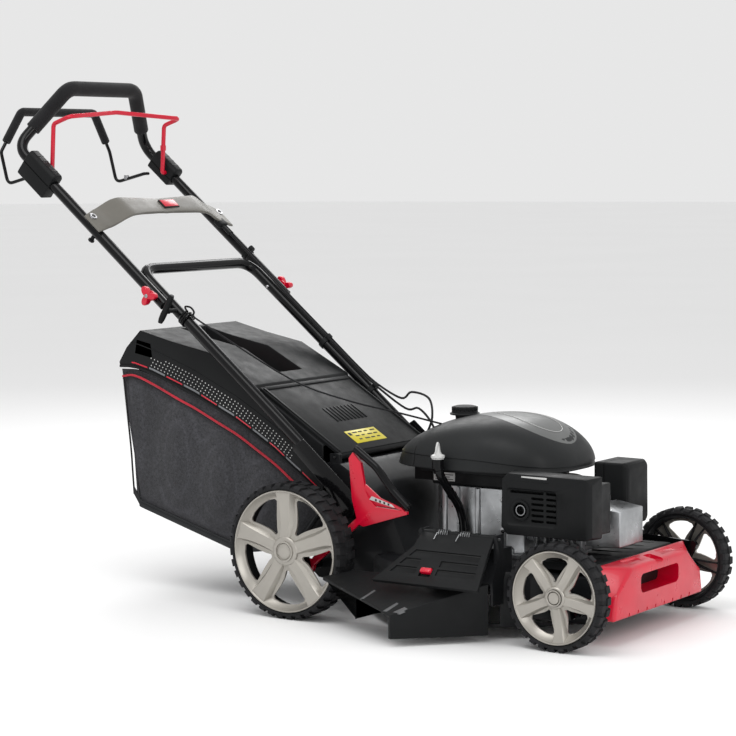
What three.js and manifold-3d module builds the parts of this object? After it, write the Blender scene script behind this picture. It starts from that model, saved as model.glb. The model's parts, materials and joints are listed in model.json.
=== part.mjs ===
// Walk-behind petrol lawn mower with rear catcher and side discharge chute.
// Millimetres, +Z up, +X forward, +Y to the mower's left.
// Drawn with X = 0 at the rear axle and Z = 0 on the ground, then moved so that
// the origin is the centre of the footprint.
import * as THREE from 'three';
import { mergeVertices } from 'three/addons/utils/BufferGeometryUtils.js';
import { ConvexGeometry } from 'three/addons/geometries/ConvexGeometry.js';
import Module from 'manifold-3d';

const wasm = await Module();
wasm.setup();

// ---- driving dimensions -------------------------------------------------
const FIT = 0.3;
const RUNNING = 1.5;
const BEARING = 0.8;
const PIN_PLAY = 0.6;

const WHEELBASE = 615;
const REAR_R = 137.5;
const FRONT_R = 102.5;
const REAR_TYRE_WIDTH = 60;
const FRONT_TYRE_WIDTH = 42;
const REAR_OUTER_Y = 290;
const FRONT_OUTER_Y = 279;
const REAR_TYRE_DEPTH = 13;
const FRONT_TYRE_DEPTH = 13;
const HUB_R = 20;
const SPOKES = 5;
const WHEEL_SIDES = 36;
const AXLE_R = 6.5;
const CRANK_ARM = 40;
const CRANK_ANGLE = THREE.MathUtils.degToRad(80);
const AXLE_BAR_R = 8;
const LINK_ARM = 85;
const LINK_ANGLE = THREE.MathUtils.degToRad(27.5);
const LINK_Y = 216;

const SHAFT_X = 335;
const SHAFT_R = 12.5;
const DECK_R = 262;
const DECK_TOP = 135;
const DECK_LOW = 22;
const DECK_WALL = 4;
const NOSE_END_X = 648;
const NOSE_HALF = 190;
const TUNNEL_REAR_X = 26;
const TUNNEL_TOP = 306;
const REAR_PIN_X = 44;
const REAR_PIN_Z = 318;
const REAR_FLAP_HALF = 160;
const MOUTH_LOW = 200;
const TIP_GAP = 8;
const BLADE_LENGTH = 2 * (DECK_R - DECK_WALL - TIP_GAP);
const BLADE_WIDTH = 55;
const BLADE_Z = 42;

const BUMPER_FACE_X = 694;
const BUMPER_HALF = 190;

const CHUTE_Y = 265;
const WHEEL_GAP = 12.5;
const CHUTE_OUT_Y = 400;
const CHUTE_TOP = 112;
const CHUTE_WALL = 4;
const FLAP_PIN_Y = -240;
const FLAP_PIN_Z = 196;
const FLAP_DROP = 88;
const FLAP_REACH = 92;
const FLAP_THICK = 7;
const PIN_R = 3;

const TUBE_R = 12;
const HANDLE_ANGLE = THREE.MathUtils.degToRad(39.5);
const HANDLE_X = 75;
const HANDLE_Z = 262;
const LOWER_HALF = 190;
const TUNNEL_GAP = 2;
const TUNNEL_HALF = LOWER_HALF - TUBE_R - TUNNEL_GAP;
const UPPER_HALF = LOWER_HALF + 2 * TUBE_R + 0.5;
const LOWER_REACH = 674;
const KNOB_REACH = 592;
const UPPER_START = 560;
const FOAM_R = 17;

const CATCHER_HALF = 168;
const CATCHER_FRONT_X = 14;
const BAG_WALL = 4;
const LID_WALL = 4;

const COWL_LOW = 306;
const COWL_TOP = 410;
const COWL_HALF = 150;
const BLOCK_HALF = 105;
const BLOCK_TOP = 270;
const DECK_SEAT = DECK_TOP + FIT;

// ---- finishes -----------------------------------------------------------
const finish = (color, roughness, metalness) => ({ color, roughness, metalness });
const DECK_BLACK = finish(0x232426, 0.45, 0.3);
const TUBE_BLACK = finish(0x141415, 0.25, 0.3);
const PLASTIC_BLACK = finish(0x1b1c1e, 0.55, 0);
const FOAM = finish(0x141414, 0.95, 0);
const RUBBER = finish(0x161618, 0.85, 0);
const RED = finish(0xd01030, 0.4, 0);
const RIM_SILVER = finish(0xb7b1a6, 0.35, 0.6);
const ALUMINIUM = finish(0xb9bbbe, 0.4, 0.9);
const STEEL = finish(0x9b9da1, 0.35, 0.9);
const GREY = finish(0x77736d, 0.5, 0);
const COWL_GREY = finish(0x333537, 0.4, 0);
const FABRIC = finish(0x202022, 0.95, 0);
const WHITE = finish(0xe8e8e4, 0.4, 0);

// ---- solids -------------------------------------------------------------
function solid(geometry) {
  const bare = geometry.clone();
  bare.deleteAttribute('normal');
  bare.deleteAttribute('uv');
  const merged = mergeVertices(bare, 1e-3);
  const corners = merged.index.array;
  const kept = [];
  for (let i = 0; i < corners.length; i += 3) {
    const [a, b, c] = [corners[i], corners[i + 1], corners[i + 2]];
    if (a !== b && b !== c && c !== a) kept.push(a, b, c);
  }
  return new wasm.Manifold(new wasm.Mesh({
    numProp: 3,
    vertProperties: new Float32Array(merged.attributes.position.array),
    triVerts: new Uint32Array(kept),
  }));
}

const join = (first, ...rest) => rest.reduce((whole, next) => whole.add(next), first);
const cut = (body, ...tools) => tools.reduce((rest, tool) => rest.subtract(tool), body);

function block([x0, x1], [y0, y1], [z0, z1]) {
  const box = new THREE.BoxGeometry(x1 - x0, y1 - y0, z1 - z0);
  return solid(box.translate((x0 + x1) / 2, (y0 + y1) / 2, (z0 + z1) / 2));
}

// A round bar along 'x', 'y' or 'z' between two stations on that axis.
function bar(axis, radius, [from, to], [x, y, z], sides = 20, endRadius = radius) {
  const shape = new THREE.CylinderGeometry(endRadius, radius, to - from, sides);
  const middle = (from + to) / 2;
  if (axis === 'x') shape.rotateZ(-Math.PI / 2).translate(middle, y, z);
  if (axis === 'y') shape.translate(x, middle, z);
  if (axis === 'z') shape.rotateX(Math.PI / 2).translate(x, y, middle);
  return solid(shape);
}

// A turned body about the 'y' or 'z' axis; profile points are [radius, station].
function turned(axis, profile, [x, y, z], sides = 32) {
  const points = profile.map(([radius, station]) => new THREE.Vector2(radius, station));
  const shape = new THREE.LatheGeometry(points, sides);
  if (axis === 'z') shape.rotateX(Math.PI / 2);
  const body = solid(shape.translate(x, y, z));
  return body.volume() < 0 ? solid(flipped(shape)) : body;
}

function flipped(geometry) {
  const turnedOver = geometry.clone();
  const order = turnedOver.index.array;
  for (let i = 0; i < order.length; i += 3) {
    [order[i + 1], order[i + 2]] = [order[i + 2], order[i + 1]];
  }
  return turnedOver;
}

function outline(points) {
  return new THREE.Shape(points.map(([u, v]) => new THREE.Vector2(u, v)));
}

// A side profile in X and Z, carried across from y0 to y1.
function sideProfile(points, [y0, y1]) {
  const shape = new THREE.ExtrudeGeometry(outline(points), { depth: y1 - y0, bevelEnabled: false });
  return solid(shape.rotateX(Math.PI / 2).translate(0, y1, 0));
}

// A plan outline in X and Y, raised from z0 to z1.
function plan(points, [z0, z1]) {
  const shape = new THREE.ExtrudeGeometry(outline(points), { depth: z1 - z0, bevelEnabled: false });
  return solid(shape.translate(0, 0, z0));
}

function hull(points) {
  return solid(new ConvexGeometry(points.map(([x, y, z]) => new THREE.Vector3(x, y, z))));
}

// A path of straight runs joined by round bends, sampled only where it turns.
class BentPath extends THREE.Curve {
  constructor(points, radius, stepsPerBend = 4) {
    super();
    const corners = points.map(([x, y, z]) => new THREE.Vector3(x, y, z));
    this.stations = [corners[0]];
    for (let i = 1; i < corners.length - 1; i += 1) {
      const back = corners[i - 1].clone().sub(corners[i]);
      const ahead = corners[i + 1].clone().sub(corners[i]);
      const half = back.angleTo(ahead) / 2;
      const limit = 0.48 * Math.min(back.length(), ahead.length());
      const run = Math.min(radius / Math.tan(half), limit);
      const bend = new THREE.QuadraticBezierCurve3(
        corners[i].clone().addScaledVector(back.normalize(), run),
        corners[i],
        corners[i].clone().addScaledVector(ahead.normalize(), run),
      );
      this.stations.push(...bend.getPoints(stepsPerBend));
    }
    this.stations.push(corners[corners.length - 1]);
  }

  get steps() {
    return this.stations.length - 1;
  }

  getPoint(t, target = new THREE.Vector3()) {
    const place = t * this.steps;
    const low = Math.min(Math.floor(place + 1e-9), this.steps - 1);
    return target.lerpVectors(this.stations[low], this.stations[low + 1], place - low);
  }

  getPointAt(u, target) {
    return this.getPoint(u, target);
  }

  getTangentAt(u, target = new THREE.Vector3()) {
    const station = Math.round(u * this.steps);
    target.set(0, 0, 0);
    if (station > 0) {
      const before = this.stations[station].clone().sub(this.stations[station - 1]);
      target.add(before.normalize());
    }
    if (station < this.steps) {
      const after = this.stations[station + 1].clone().sub(this.stations[station]);
      target.add(after.normalize());
    }
    return target.normalize();
  }
}

function bentBar(points, radius, bendRadius, sides = 10, stepsPerBend = 4) {
  const path = new BentPath(points, bendRadius, stepsPerBend);
  const ring = [];
  for (let i = 0; i < sides; i += 1) {
    const angle = (2 * Math.PI * i) / sides;
    ring.push([radius * Math.cos(angle), radius * Math.sin(angle)]);
  }
  const options = { steps: path.steps, extrudePath: path, bevelEnabled: false };
  return solid(new THREE.ExtrudeGeometry(outline(ring), options));
}

// A cable's smooth route through chosen points.
function cable(points, radius, steps, sides = 8) {
  const route = new THREE.CatmullRomCurve3(points.map(([x, y, z]) => new THREE.Vector3(x, y, z)));
  const ring = [];
  for (let i = 0; i < sides; i += 1) {
    const angle = (2 * Math.PI * i) / sides;
    ring.push([radius * Math.cos(angle), radius * Math.sin(angle)]);
  }
  return solid(new THREE.ExtrudeGeometry(outline(ring), { steps, extrudePath: route, bevelEnabled: false }));
}

const mower = new THREE.Group();

function add(name, body, look) {
  const { vertProperties, triVerts } = body.getMesh();
  const geometry = new THREE.BufferGeometry();
  geometry.setAttribute('position', new THREE.BufferAttribute(vertProperties, 3));
  geometry.setIndex(new THREE.BufferAttribute(triVerts, 1));
  geometry.computeVertexNormals();
  const mesh = new THREE.Mesh(geometry, new THREE.MeshStandardMaterial(look));
  mesh.name = name;
  mower.add(mesh);
}

// A place on the handle: reach runs up along the tubes, lift stands off them.
function onHandle(reach, lift = 0) {
  return [
    HANDLE_X - reach * Math.cos(HANDLE_ANGLE) + lift * Math.sin(HANDLE_ANGLE),
    HANDLE_Z + reach * Math.sin(HANDLE_ANGLE) + lift * Math.cos(HANDLE_ANGLE),
  ];
}

function handlePoint(reach, lift, y) {
  const [x, z] = onHandle(reach, lift);
  return [x, y, z];
}

// ---- deck ---------------------------------------------------------------
const REAR_BAR_X = CRANK_ARM * Math.cos(CRANK_ANGLE);
const REAR_BAR_Z = REAR_R - CRANK_ARM * Math.sin(CRANK_ANGLE);
const FRONT_BAR_X = WHEELBASE + CRANK_ARM * Math.cos(CRANK_ANGLE);
const FRONT_BAR_Z = FRONT_R - CRANK_ARM * Math.sin(CRANK_ANGLE);

function drum(inset, top, low) {
  const radius = DECK_R - inset;
  const profile = [[0, low], [radius, low], [radius, top - 20], [radius - 7, top - 6], [radius - 20, top], [0, top]];
  return turned('z', profile, [SHAFT_X, 0, 0], 44);
}

// The rear tunnel, which lifts the cut grass from the blade circle to the catcher.
function tunnel(inset, rear, mouth) {
  const half = TUNNEL_HALF - inset;
  const floor = 60 - inset * 3;
  return sideProfile([
    [rear, floor], [SHAFT_X, floor], [SHAFT_X, DECK_TOP - inset], [220, DECK_TOP - inset],
    [192, 200 - inset], [150, 254 - inset], [110, 280 - inset], [62, TUNNEL_TOP - inset], [mouth, TUNNEL_TOP - inset],
    [mouth, MOUTH_LOW + inset], [rear, MOUTH_LOW + inset],
  ], [-half, half]);
}

// The raised outlet on the right side, closed by the flap.
const OUTLET_X = [300, 474];
const OUTLET_TOP = 176;

function outlet(inset) {
  const [x0, x1] = [OUTLET_X[0] + inset, OUTLET_X[1] - inset];
  const top = OUTLET_TOP - inset;
  const outer = -CHUTE_Y + 4 + inset;
  return hull([
    [x0, outer, 70], [x1, outer, 70], [x0, outer, 118], [x1, outer, 118],
    [x0, FLAP_PIN_Y + 6 + inset, top], [x1, FLAP_PIN_Y + 6 + inset, top],
    [x0, -190, top], [x1, -190, top], [x0, -190, 70], [x1, -190, 70],
  ]);
}

function deckShell() {
  const nose = block([SHAFT_X, NOSE_END_X], [-NOSE_HALF, NOSE_HALF], [40, 128]);
  const noseRoom = block(
    [SHAFT_X, NOSE_END_X - DECK_WALL],
    [DECK_WALL - NOSE_HALF, NOSE_HALF - DECK_WALL],
    [30, 128 - DECK_WALL],
  );
  const shell = join(drum(0, DECK_TOP, DECK_LOW), nose, tunnel(0, TUNNEL_REAR_X, TUNNEL_REAR_X), outlet(0));
  const room = join(
    drum(DECK_WALL, DECK_TOP - DECK_WALL, 0),
    noseRoom,
    tunnel(DECK_WALL, TUNNEL_REAR_X + DECK_WALL, 0),
    outlet(DECK_WALL),
  );
  const discharge = block([OUTLET_X[0] + 6, OUTLET_X[1] - 6], [-CHUTE_Y - 5, -150], [DECK_LOW + 8, 108]);
  const shaftHole = bar('z', SHAFT_R + RUNNING, [100, 150], [SHAFT_X, 0, 0], 24);
  const frontBearing = bar('y', AXLE_BAR_R + BEARING, [-240, 240], [FRONT_BAR_X, 0, FRONT_BAR_Z], 16);
  const rearBearing = bar('y', AXLE_BAR_R + BEARING, [-230, 230], [REAR_BAR_X, 0, REAR_BAR_Z], 16);
  const ears = join(
    block([OUTLET_X[0], OUTLET_X[0] + 6], [FLAP_PIN_Y - 8, FLAP_PIN_Y + 20], [150, FLAP_PIN_Z + 8]),
    block([OUTLET_X[1] - 6, OUTLET_X[1]], [FLAP_PIN_Y - 8, FLAP_PIN_Y + 20], [150, FLAP_PIN_Z + 8]),
  );
  const flapEars = join(
    block([TUNNEL_REAR_X + 6, 58], [-REAR_FLAP_HALF - 9, -REAR_FLAP_HALF - 3], [TUNNEL_TOP - 8, REAR_PIN_Z + 7]),
    block([TUNNEL_REAR_X + 6, 58], [REAR_FLAP_HALF + 3, REAR_FLAP_HALF + 9], [TUNNEL_TOP - 8, REAR_PIN_Z + 7]),
  );
  const rearLugs = join(
    rearAxleLug(-TUNNEL_HALF, -TUNNEL_HALF + 8),
    rearAxleLug(TUNNEL_HALF - 8, TUNNEL_HALF),
  );
  return cut(
    join(cut(shell, room), ears, flapEars, rearLugs),
    discharge,
    shaftHole,
    frontBearing,
    rearBearing,
    bar('x', PIN_R + FIT, [OUTLET_X[0] - 10, OUTLET_X[1] + 10], [0, FLAP_PIN_Y, FLAP_PIN_Z], 12),
    bar('y', PIN_R + FIT, [-200, 200], [REAR_PIN_X, 0, REAR_PIN_Z], 12),
  );
}

function rearAxleLug(y0, y1) {
  return sideProfile([
    [TUNNEL_REAR_X + 20, 66], [TUNNEL_REAR_X + 20, 150], [4, 122], [-10, 108], [-10, 84], [6, 70],
  ], [y0, y1]);
}
function frontBumper() {
  const back = NOSE_END_X + FIT;
  const half = BUMPER_HALF;
  const body = hull([
    [BUMPER_FACE_X, -112, 143], [BUMPER_FACE_X, 112, 143], [BUMPER_FACE_X, -176, 100], [BUMPER_FACE_X, 176, 100],
    [BUMPER_FACE_X, -half + 4, 48], [BUMPER_FACE_X, half - 4, 48],
    [back, -half, 152], [back, half, 152], [back, -half - 8, 60], [back, half + 8, 60],
    [back, -half, 50], [back, half, 50],
  ]);
  const slot = block([back + 3, BUMPER_FACE_X + 5], [-79, 79], [91, 124]);
  const topNotch = block([back + 14, BUMPER_FACE_X + 5], [-14, 14], [137, 160]);
  return cut(body, slot, topNotch);
}

function frontCover() {
  const low = DECK_SEAT;
  return hull([
    [484, -172, low], [646, -172, low], [484, 172, low], [646, 172, low],
    [500, -160, 146], [640, -150, 150], [500, 160, 146], [640, 150, 150],
  ]);
}

function handleBracket(side) {
  const inner = side * (LOWER_HALF + TUBE_R + 0.5);
  const outer = inner + side * 4;
  const span = (a, b) => (a < b ? [a, b] : [b, a]);
  const plate = sideProfile([
    [112, 200], [122, 232], [104, 262], [-8, 356], [-34, 340], [-34, 330], [62, 244], [62, 200],
  ], span(inner, outer));
  const foot = block([62, 112], span(side * (TUNNEL_HALF + FIT), outer), [200, 218]);
  return join(plate, foot);
}

// ---- side discharge -----------------------------------------------------
function sideChute() {
  const near = -CHUTE_Y;
  const rear = REAR_R + WHEEL_GAP;
  const shape = (grow, top, out) => hull([
    [rear + 10 + grow, near + out, 14], [466 - grow, near + out, 14], [332, -CHUTE_OUT_Y + grow * 1.4, 16],
    [rear - 42 - grow * 4, -304 - grow * 2.2, 16], [rear - grow * 3, -297, 16],
    [rear + 10 + grow, near + out, CHUTE_TOP - top], [466 - grow, near + out, CHUTE_TOP - top],
    [332, -CHUTE_OUT_Y + grow * 1.4, 62 - top], [rear - 42 - grow * 4, -304 - grow * 2.2, 100 - top],
    [rear - grow * 3, -297, 102 - top],
  ]);
  const outer = shape(0, 0, 0);
  const wall = CHUTE_WALL;
  const room = hull([
    [rear + 30, near + 6, 0], [466 - wall, near + 6, 0], [328, -CHUTE_OUT_Y + wall, 0], [80, -310, 0],
    [rear + 30, near + 6, CHUTE_TOP - wall], [466 - wall, near + 6, CHUTE_TOP - wall],
    [328, -CHUTE_OUT_Y + wall, 62 - wall], [60, -296, 96], [280, -420, 52], [280, -420, 0],
  ]);
  return cut(outer, room);
}

const FLAP_LENGTH = Math.hypot(FLAP_DROP, FLAP_REACH);

// A place on the side flap: down its slope from the pin, and standing off its back face.
function onFlap(x, down, lift) {
  const share = down / FLAP_LENGTH;
  return [
    x,
    FLAP_PIN_Y - share * FLAP_REACH - (lift * FLAP_DROP) / FLAP_LENGTH,
    FLAP_PIN_Z - share * FLAP_DROP + (lift * FLAP_REACH) / FLAP_LENGTH,
  ];
}

function flapSlab([a0, a1], [b0, b1], [down0, down1], [lift0, lift1]) {
  return hull([
    onFlap(a0, down0, lift0), onFlap(a1, down0, lift0), onFlap(b0, down1, lift0), onFlap(b1, down1, lift0),
    onFlap(a0, down0, lift1), onFlap(a1, down0, lift1), onFlap(b0, down1, lift1), onFlap(b1, down1, lift1),
  ]);
}

const LATCH_X = 357;
const LATCH_DOWN = [88, 100];

function sideFlap() {
  const [x0, x1] = [OUTLET_X[0] + 7, OUTLET_X[1] - 7];
  const upper = flapSlab([x0, x1], [x0 - 4, x1 + 4], [4, 40], [0, FLAP_THICK]);
  const lower = flapSlab([x0 - 4, x1 + 4], [248, 486], [39, FLAP_LENGTH], [0, FLAP_THICK]);
  const barrel = bar('x', PIN_R + 4, [x0, x1], [0, FLAP_PIN_Y, FLAP_PIN_Z], 16);
  const pinHole = bar('x', PIN_R + PIN_PLAY, [x0 - 5, x1 + 5], [0, FLAP_PIN_Y, FLAP_PIN_Z], 12);
  const width = [LATCH_X - 13, LATCH_X + 13];
  const slot = flapSlab(width, width, [LATCH_DOWN[0] - 1, LATCH_DOWN[1] + 8], [-5, FLAP_THICK + 5]);
  return cut(join(upper, lower, barrel), pinHole, slot);
}

function flapLatch() {
  const width = [LATCH_X - 13 + FIT, LATCH_X + 13 - FIT];
  return flapSlab(width, width, LATCH_DOWN, [0.5, FLAP_THICK + 4]);
}

// ---- running gear -------------------------------------------------------
function tyre([x, z], side, radius, depth, width, outerY) {
  const shoulder = 7;
  const [low, high] = side < 0 ? [-outerY, width - outerY] : [outerY - width, outerY];
  const bore = radius - depth;
  return turned('y', [
    [bore, low], [radius - shoulder, low], [radius, low + shoulder],
    [radius, high - shoulder], [radius - shoulder, high], [bore, high], [bore, low],
  ], [x, 0, z], WHEEL_SIDES);
}

function rim([x, z], side, radius, depth, width, outerY) {
  const outer = radius - depth - FIT;
  const [low, high] = side < 0 ? [-outerY + 4, width - outerY - 4] : [outerY - width + 4, outerY - 4];
  const barrel = turned('y', [
    [outer - 4, low], [outer, low], [outer, high], [outer - 4, high], [outer - 4, low],
  ], [x, 0, z], WHEEL_SIDES);
  const face = side < 0 ? low : high;
  const back = face - side * 10;
  const [y0, y1] = face < back ? [face, back] : [back, face];
  const hubInner = side < 0 ? high : low;
  const [h0, h1] = face < hubInner ? [face, hubInner] : [hubInner, face];
  let wheel = join(barrel, bar('y', HUB_R, [h0, h1], [x, 0, z], 24));
  for (let i = 0; i < SPOKES; i += 1) {
    const angle = Math.PI / 2 + (2 * Math.PI * i) / SPOKES;
    const place = (reach, across, y) => [
      x + reach * Math.cos(angle) - across * Math.sin(angle),
      y,
      z + reach * Math.sin(angle) + across * Math.cos(angle),
    ];
    const root = HUB_R - 4;
    const flare = outer * 0.22;
    const tip = Math.sqrt((outer - RUNNING) ** 2 - flare ** 2);
    const corners = [];
    for (const y of [y0, y1]) {
      corners.push(place(root, -9, y), place(root, 9, y), place(tip, -flare, y), place(tip, flare, y));
    }
    wheel = wheel.add(hull(corners));
  }
  return cut(wheel, bar('y', AXLE_R + 0.6, [h0 - 2, h1 + 2], [x, 0, z], 16));
}

const ARM_INNER_Y = 218;
const ARM_OUTER_Y = 226;

function crankedAxle([barX, barZ], [wheelX, wheelZ], stubEnd) {
  let axle = bar('y', AXLE_BAR_R, [-ARM_OUTER_Y, ARM_OUTER_Y], [barX, 0, barZ], 16);
  for (const side of [-1, 1]) {
    const inner = side < 0 ? -ARM_OUTER_Y : ARM_INNER_Y;
    const outer = side < 0 ? -ARM_INNER_Y : ARM_OUTER_Y;
    axle = axle.add(strip([barX, barZ], [wheelX, wheelZ], 10, [inner, outer]));
    const stub = side < 0 ? [-stubEnd, -ARM_INNER_Y] : [ARM_INNER_Y, stubEnd];
    axle = axle.add(bar('y', AXLE_R, stub, [wheelX, 0, wheelZ], 16));
  }
  const [pinX, pinZ] = linkPin([barX, barZ]);
  const arm = strip([barX, barZ], [pinX, pinZ], 8, [LINK_Y - 11, LINK_Y - 4]);
  const pin = bar('y', 3, [LINK_Y - 6, LINK_Y + 3], [pinX, 0, pinZ], 12);
  return join(axle, arm, pin);
}

function linkPin([barX, barZ]) {
  return [barX + LINK_ARM * Math.sin(LINK_ANGLE), barZ + LINK_ARM * Math.cos(LINK_ANGLE)];
}

// A flat bar with round ends between two places in the X-Z plane.
function strip([x0, z0], [x1, z1], half, [y0, y1]) {
  const points = [];
  for (const [x, z] of [[x0, z0], [x1, z1]]) {
    for (let i = 0; i < 12; i += 1) {
      const angle = (Math.PI * i) / 6;
      points.push([x + half * Math.cos(angle), y0, z + half * Math.sin(angle)]);
      points.push([x + half * Math.cos(angle), y1, z + half * Math.sin(angle)]);
    }
  }
  return hull(points);
}

function heightLink() {
  const rear = linkPin([REAR_BAR_X, REAR_BAR_Z]);
  const front = linkPin([FRONT_BAR_X, FRONT_BAR_Z]);
  const holes = [rear, front].map(([x, z]) => bar('y', 3 + 0.6, [LINK_Y - 10, LINK_Y + 10], [x, 0, z], 12));
  return cut(strip(rear, front, 6, [LINK_Y - 3.5, LINK_Y + 1.5]), ...holes);
}

const LEVER_Y = [-LINK_Y, -(LOWER_HALF + TUBE_R + 6)];

function heightLever() {
  const arm = strip([REAR_BAR_X + 14, REAR_BAR_Z + 10], [132, 200], 7, LEVER_Y);
  const clampRing = bar('y', AXLE_BAR_R + 8, LEVER_Y, [REAR_BAR_X, 0, REAR_BAR_Z], 16);
  const loop = sideProfile([
    [121, 338], [111, 326], [118, 242], [132, 194], [145, 190], [249, 222], [249, 228], [222, 230],
    [176, 232], [160, 246], [150, 262], [140, 318],
  ], LEVER_Y);
  const hole = bar('y', AXLE_BAR_R + 0.5, [-230, -200], [REAR_BAR_X, 0, REAR_BAR_Z], 16);
  return cut(join(arm, clampRing, loop), hole);
}

function leverGrip() {
  const path = [[125, -212, 345.3], [176, -212, 311], [214, -212, 267], [251, -212, 235.3]];
  return bentBar(path, 8, 60, 10, 3);
}

// ---- engine -------------------------------------------------------------
const HEAD_Y = -25;

function crankcase() {
  const half = BLOCK_HALF;
  const body = plan([
    [236, -half + 25], [261, -half], [412, -half], [437, -half + 25],
    [437, half - 25], [412, half], [261, half], [236, half - 25],
  ], [DECK_SEAT, BLOCK_TOP]);
  const flange = plan([
    [226, -half - 4], [444, -half - 4], [444, half + 4], [226, half + 4],
  ], [DECK_SEAT, DECK_SEAT + 8]);
  return cut(join(body, flange), bar('z', SHAFT_R + 1, [120, 280], [SHAFT_X, 0, 0], 24));
}

function cylinderHead() {
  const barrel = block([437 + FIT, 590], [HEAD_Y - 48, HEAD_Y + 48], [168, 246]);
  const fins = [];
  for (let i = 0; i < 6; i += 1) {
    const x = 462 + i * 20;
    fins.push(block([x, x + 6], [HEAD_Y - 60, HEAD_Y + 60], [158, 256]));
  }
  const cover = hull([
    [586, -80, 165], [586, 30, 165], [586, -80, 247], [586, 30, 247],
    [645, -72, 170], [645, 22, 170], [645, -72, 240], [645, 22, 240],
  ]);
  return join(barrel, ...fins, cover);
}

function mufflerGuard() {
  const shell = hull([
    [456, -200, 214], [468, -200, 200], [640, -200, 200], [650, -192, 206], [650, -192, 306], [640, -198, 316],
    [470, -198, 318], [458, -200, 306], [456, -152, 200], [650, -152, 200], [650, -152, 318], [456, -152, 318],
  ]);
  const back = block([462, 646], [-154, -112], [206, 302]);
  const pipe = block([500, 560], [-113, HEAD_Y - 60 - FIT], [214, 250]);
  return join(shell, back, pipe);
}

function airFilterBox() {
  return hull([
    [524, 42, 196], [524, 140, 196], [594, 46, 191], [594, 136, 191], [598, 50, 200], [598, 132, 200],
    [598, 50, 308], [598, 132, 308], [592, 46, 317], [592, 136, 317], [524, 42, 317], [524, 140, 317],
  ]);
}

function carburettor() {
  const body = block([480, 524 - FIT], [HEAD_Y + 60 + FIT, 84], [192, 236]);
  return join(body, bar('z', 15, [174, 194], [502, 60, 0], 16));
}

function fuelTank() {
  const reservoir = plan([
    [192, -80], [320, -80], [336, -60], [336, 60], [320, 80], [192, 80], [180, 60], [180, -60],
  ], [340, 356]);
  const leg = block([168, 238 - RUNNING], [-62, 62], [BLOCK_TOP + FIT, 345]);
  const neck = bar('z', 19, [350, 396], [FUEL_CAP_X, 0, 0], 20);
  const bore = bar('z', 15, [346, 400], [FUEL_CAP_X, 0, 0], 20);
  return cut(join(reservoir, leg, neck), bore);
}

const FUEL_CAP_X = 250;

function fuelCap() {
  return join(
    bar('z', 27, [404, 419], [FUEL_CAP_X, 0, 0], 24, 26),
    bar('z', 20, [396 + FIT, 405], [FUEL_CAP_X, 0, 0], 20),
    bar('z', 14, [380, 397], [FUEL_CAP_X, 0, 0], 20),
  );
}

// The cowl's dome: level rings of a rounded outline that shrink towards the crown.
function dome(inset) {
  const rear = 128 + inset;
  const front = 522 - inset;
  const half = COWL_HALF - inset;
  const rise = COWL_TOP - COWL_LOW - inset;
  const crownX = 330;
  const crestX = 368;
  const points = [];
  for (const level of [0, 0.35, 0.62, 0.82, 0.95, 1]) {
    const narrowing = (1 - level ** 2.6) ** (1 / 2.6) * 0.985 + 0.015;
    for (let i = 0; i < 24; i += 1) {
      const angle = (2 * Math.PI * i) / 24;
      const c = Math.sign(Math.cos(angle)) * Math.abs(Math.cos(angle)) ** 0.72;
      const s = Math.sign(Math.sin(angle)) * Math.abs(Math.sin(angle)) ** 0.72;
      const reach = c > 0 ? front - crownX : crownX - rear;
      const x = crownX + c * reach * narrowing;
      const slope = x < crestX ? 0.42 * ((crestX - x) / 240) ** 2 : 0.3 * ((x - crestX) / 154) ** 2;
      points.push([x, s * half * narrowing, COWL_LOW + rise * level * (1 - slope)]);
    }
  }
  return hull(points);
}

function cowl() {
  const housing = plan([
    [236, -BLOCK_HALF], [436, -BLOCK_HALF], [436, BLOCK_HALF], [236, BLOCK_HALF],
  ], [BLOCK_TOP + FIT, COWL_LOW + 4]);
  const fanRoom = bar('z', 97.5, [BLOCK_TOP - 5, COWL_LOW + 20], [SHAFT_X, 0, 0], 32);
  const tankRoom = block([150, 240], [-66, 66], [BLOCK_TOP - 5, COWL_LOW + 20]);
  const shell = cut(dome(0), dome(4));
  const band = cut(housing, fanRoom, tankRoom, dome(3).intersect(block([0, 600], [-97, 97], [COWL_LOW, 500])));
  const floor = plan([
    [232, -COWL_HALF + 3], [440, -COWL_HALF + 3], [440, -96], [232, -96],
  ], [COWL_LOW, COWL_LOW + 4]);
  const farFloor = plan([
    [232, 96], [440, 96], [440, COWL_HALF - 3], [232, COWL_HALF - 3],
  ], [COWL_LOW, COWL_LOW + 4]);
  const capHole = bar('z', 22, [370, 420], [FUEL_CAP_X, 0, 0], 24);
  const ropeSlot = block([196, 250], [-76, -54], [340, 420]);
  return cut(join(shell, band, floor, farFloor), capHole, ropeSlot, fanRoom);
}

const DIPSTICK_TOP = [290, -165, 329];

function dipstickTube() {
  const path = [[318, -BLOCK_HALF - 9.5, 170], [314, -BLOCK_HALF - 9.5, 212], [290, -165, 292], DIPSTICK_TOP];
  return bentBar(path, 9, 60, 12, 3);
}

function dipstickCap() {
  const [x, y, z] = DIPSTICK_TOP;
  return join(
    bar('z', 14, [z + FIT, z + 12], [x, y, 0], 20, 12),
    bar('z', 11, [z + 11, z + 22], [x, y, 0], 16, 5),
    block([x - 2.5, x + 2.5], [y - 9, y + 9], [z + 12, z + 36]),
  );
}

// ---- blade, shaft and belt ----------------------------------------------
const SHAFT_LOW = BLADE_Z + 5 + FIT;
const PULLEY_Z = [76, 92];
const BOX_X = 75;
const BOX_Y = 128;
const ENGINE_PULLEY_R = 26;
const BOX_PULLEY_R = 34;

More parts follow.
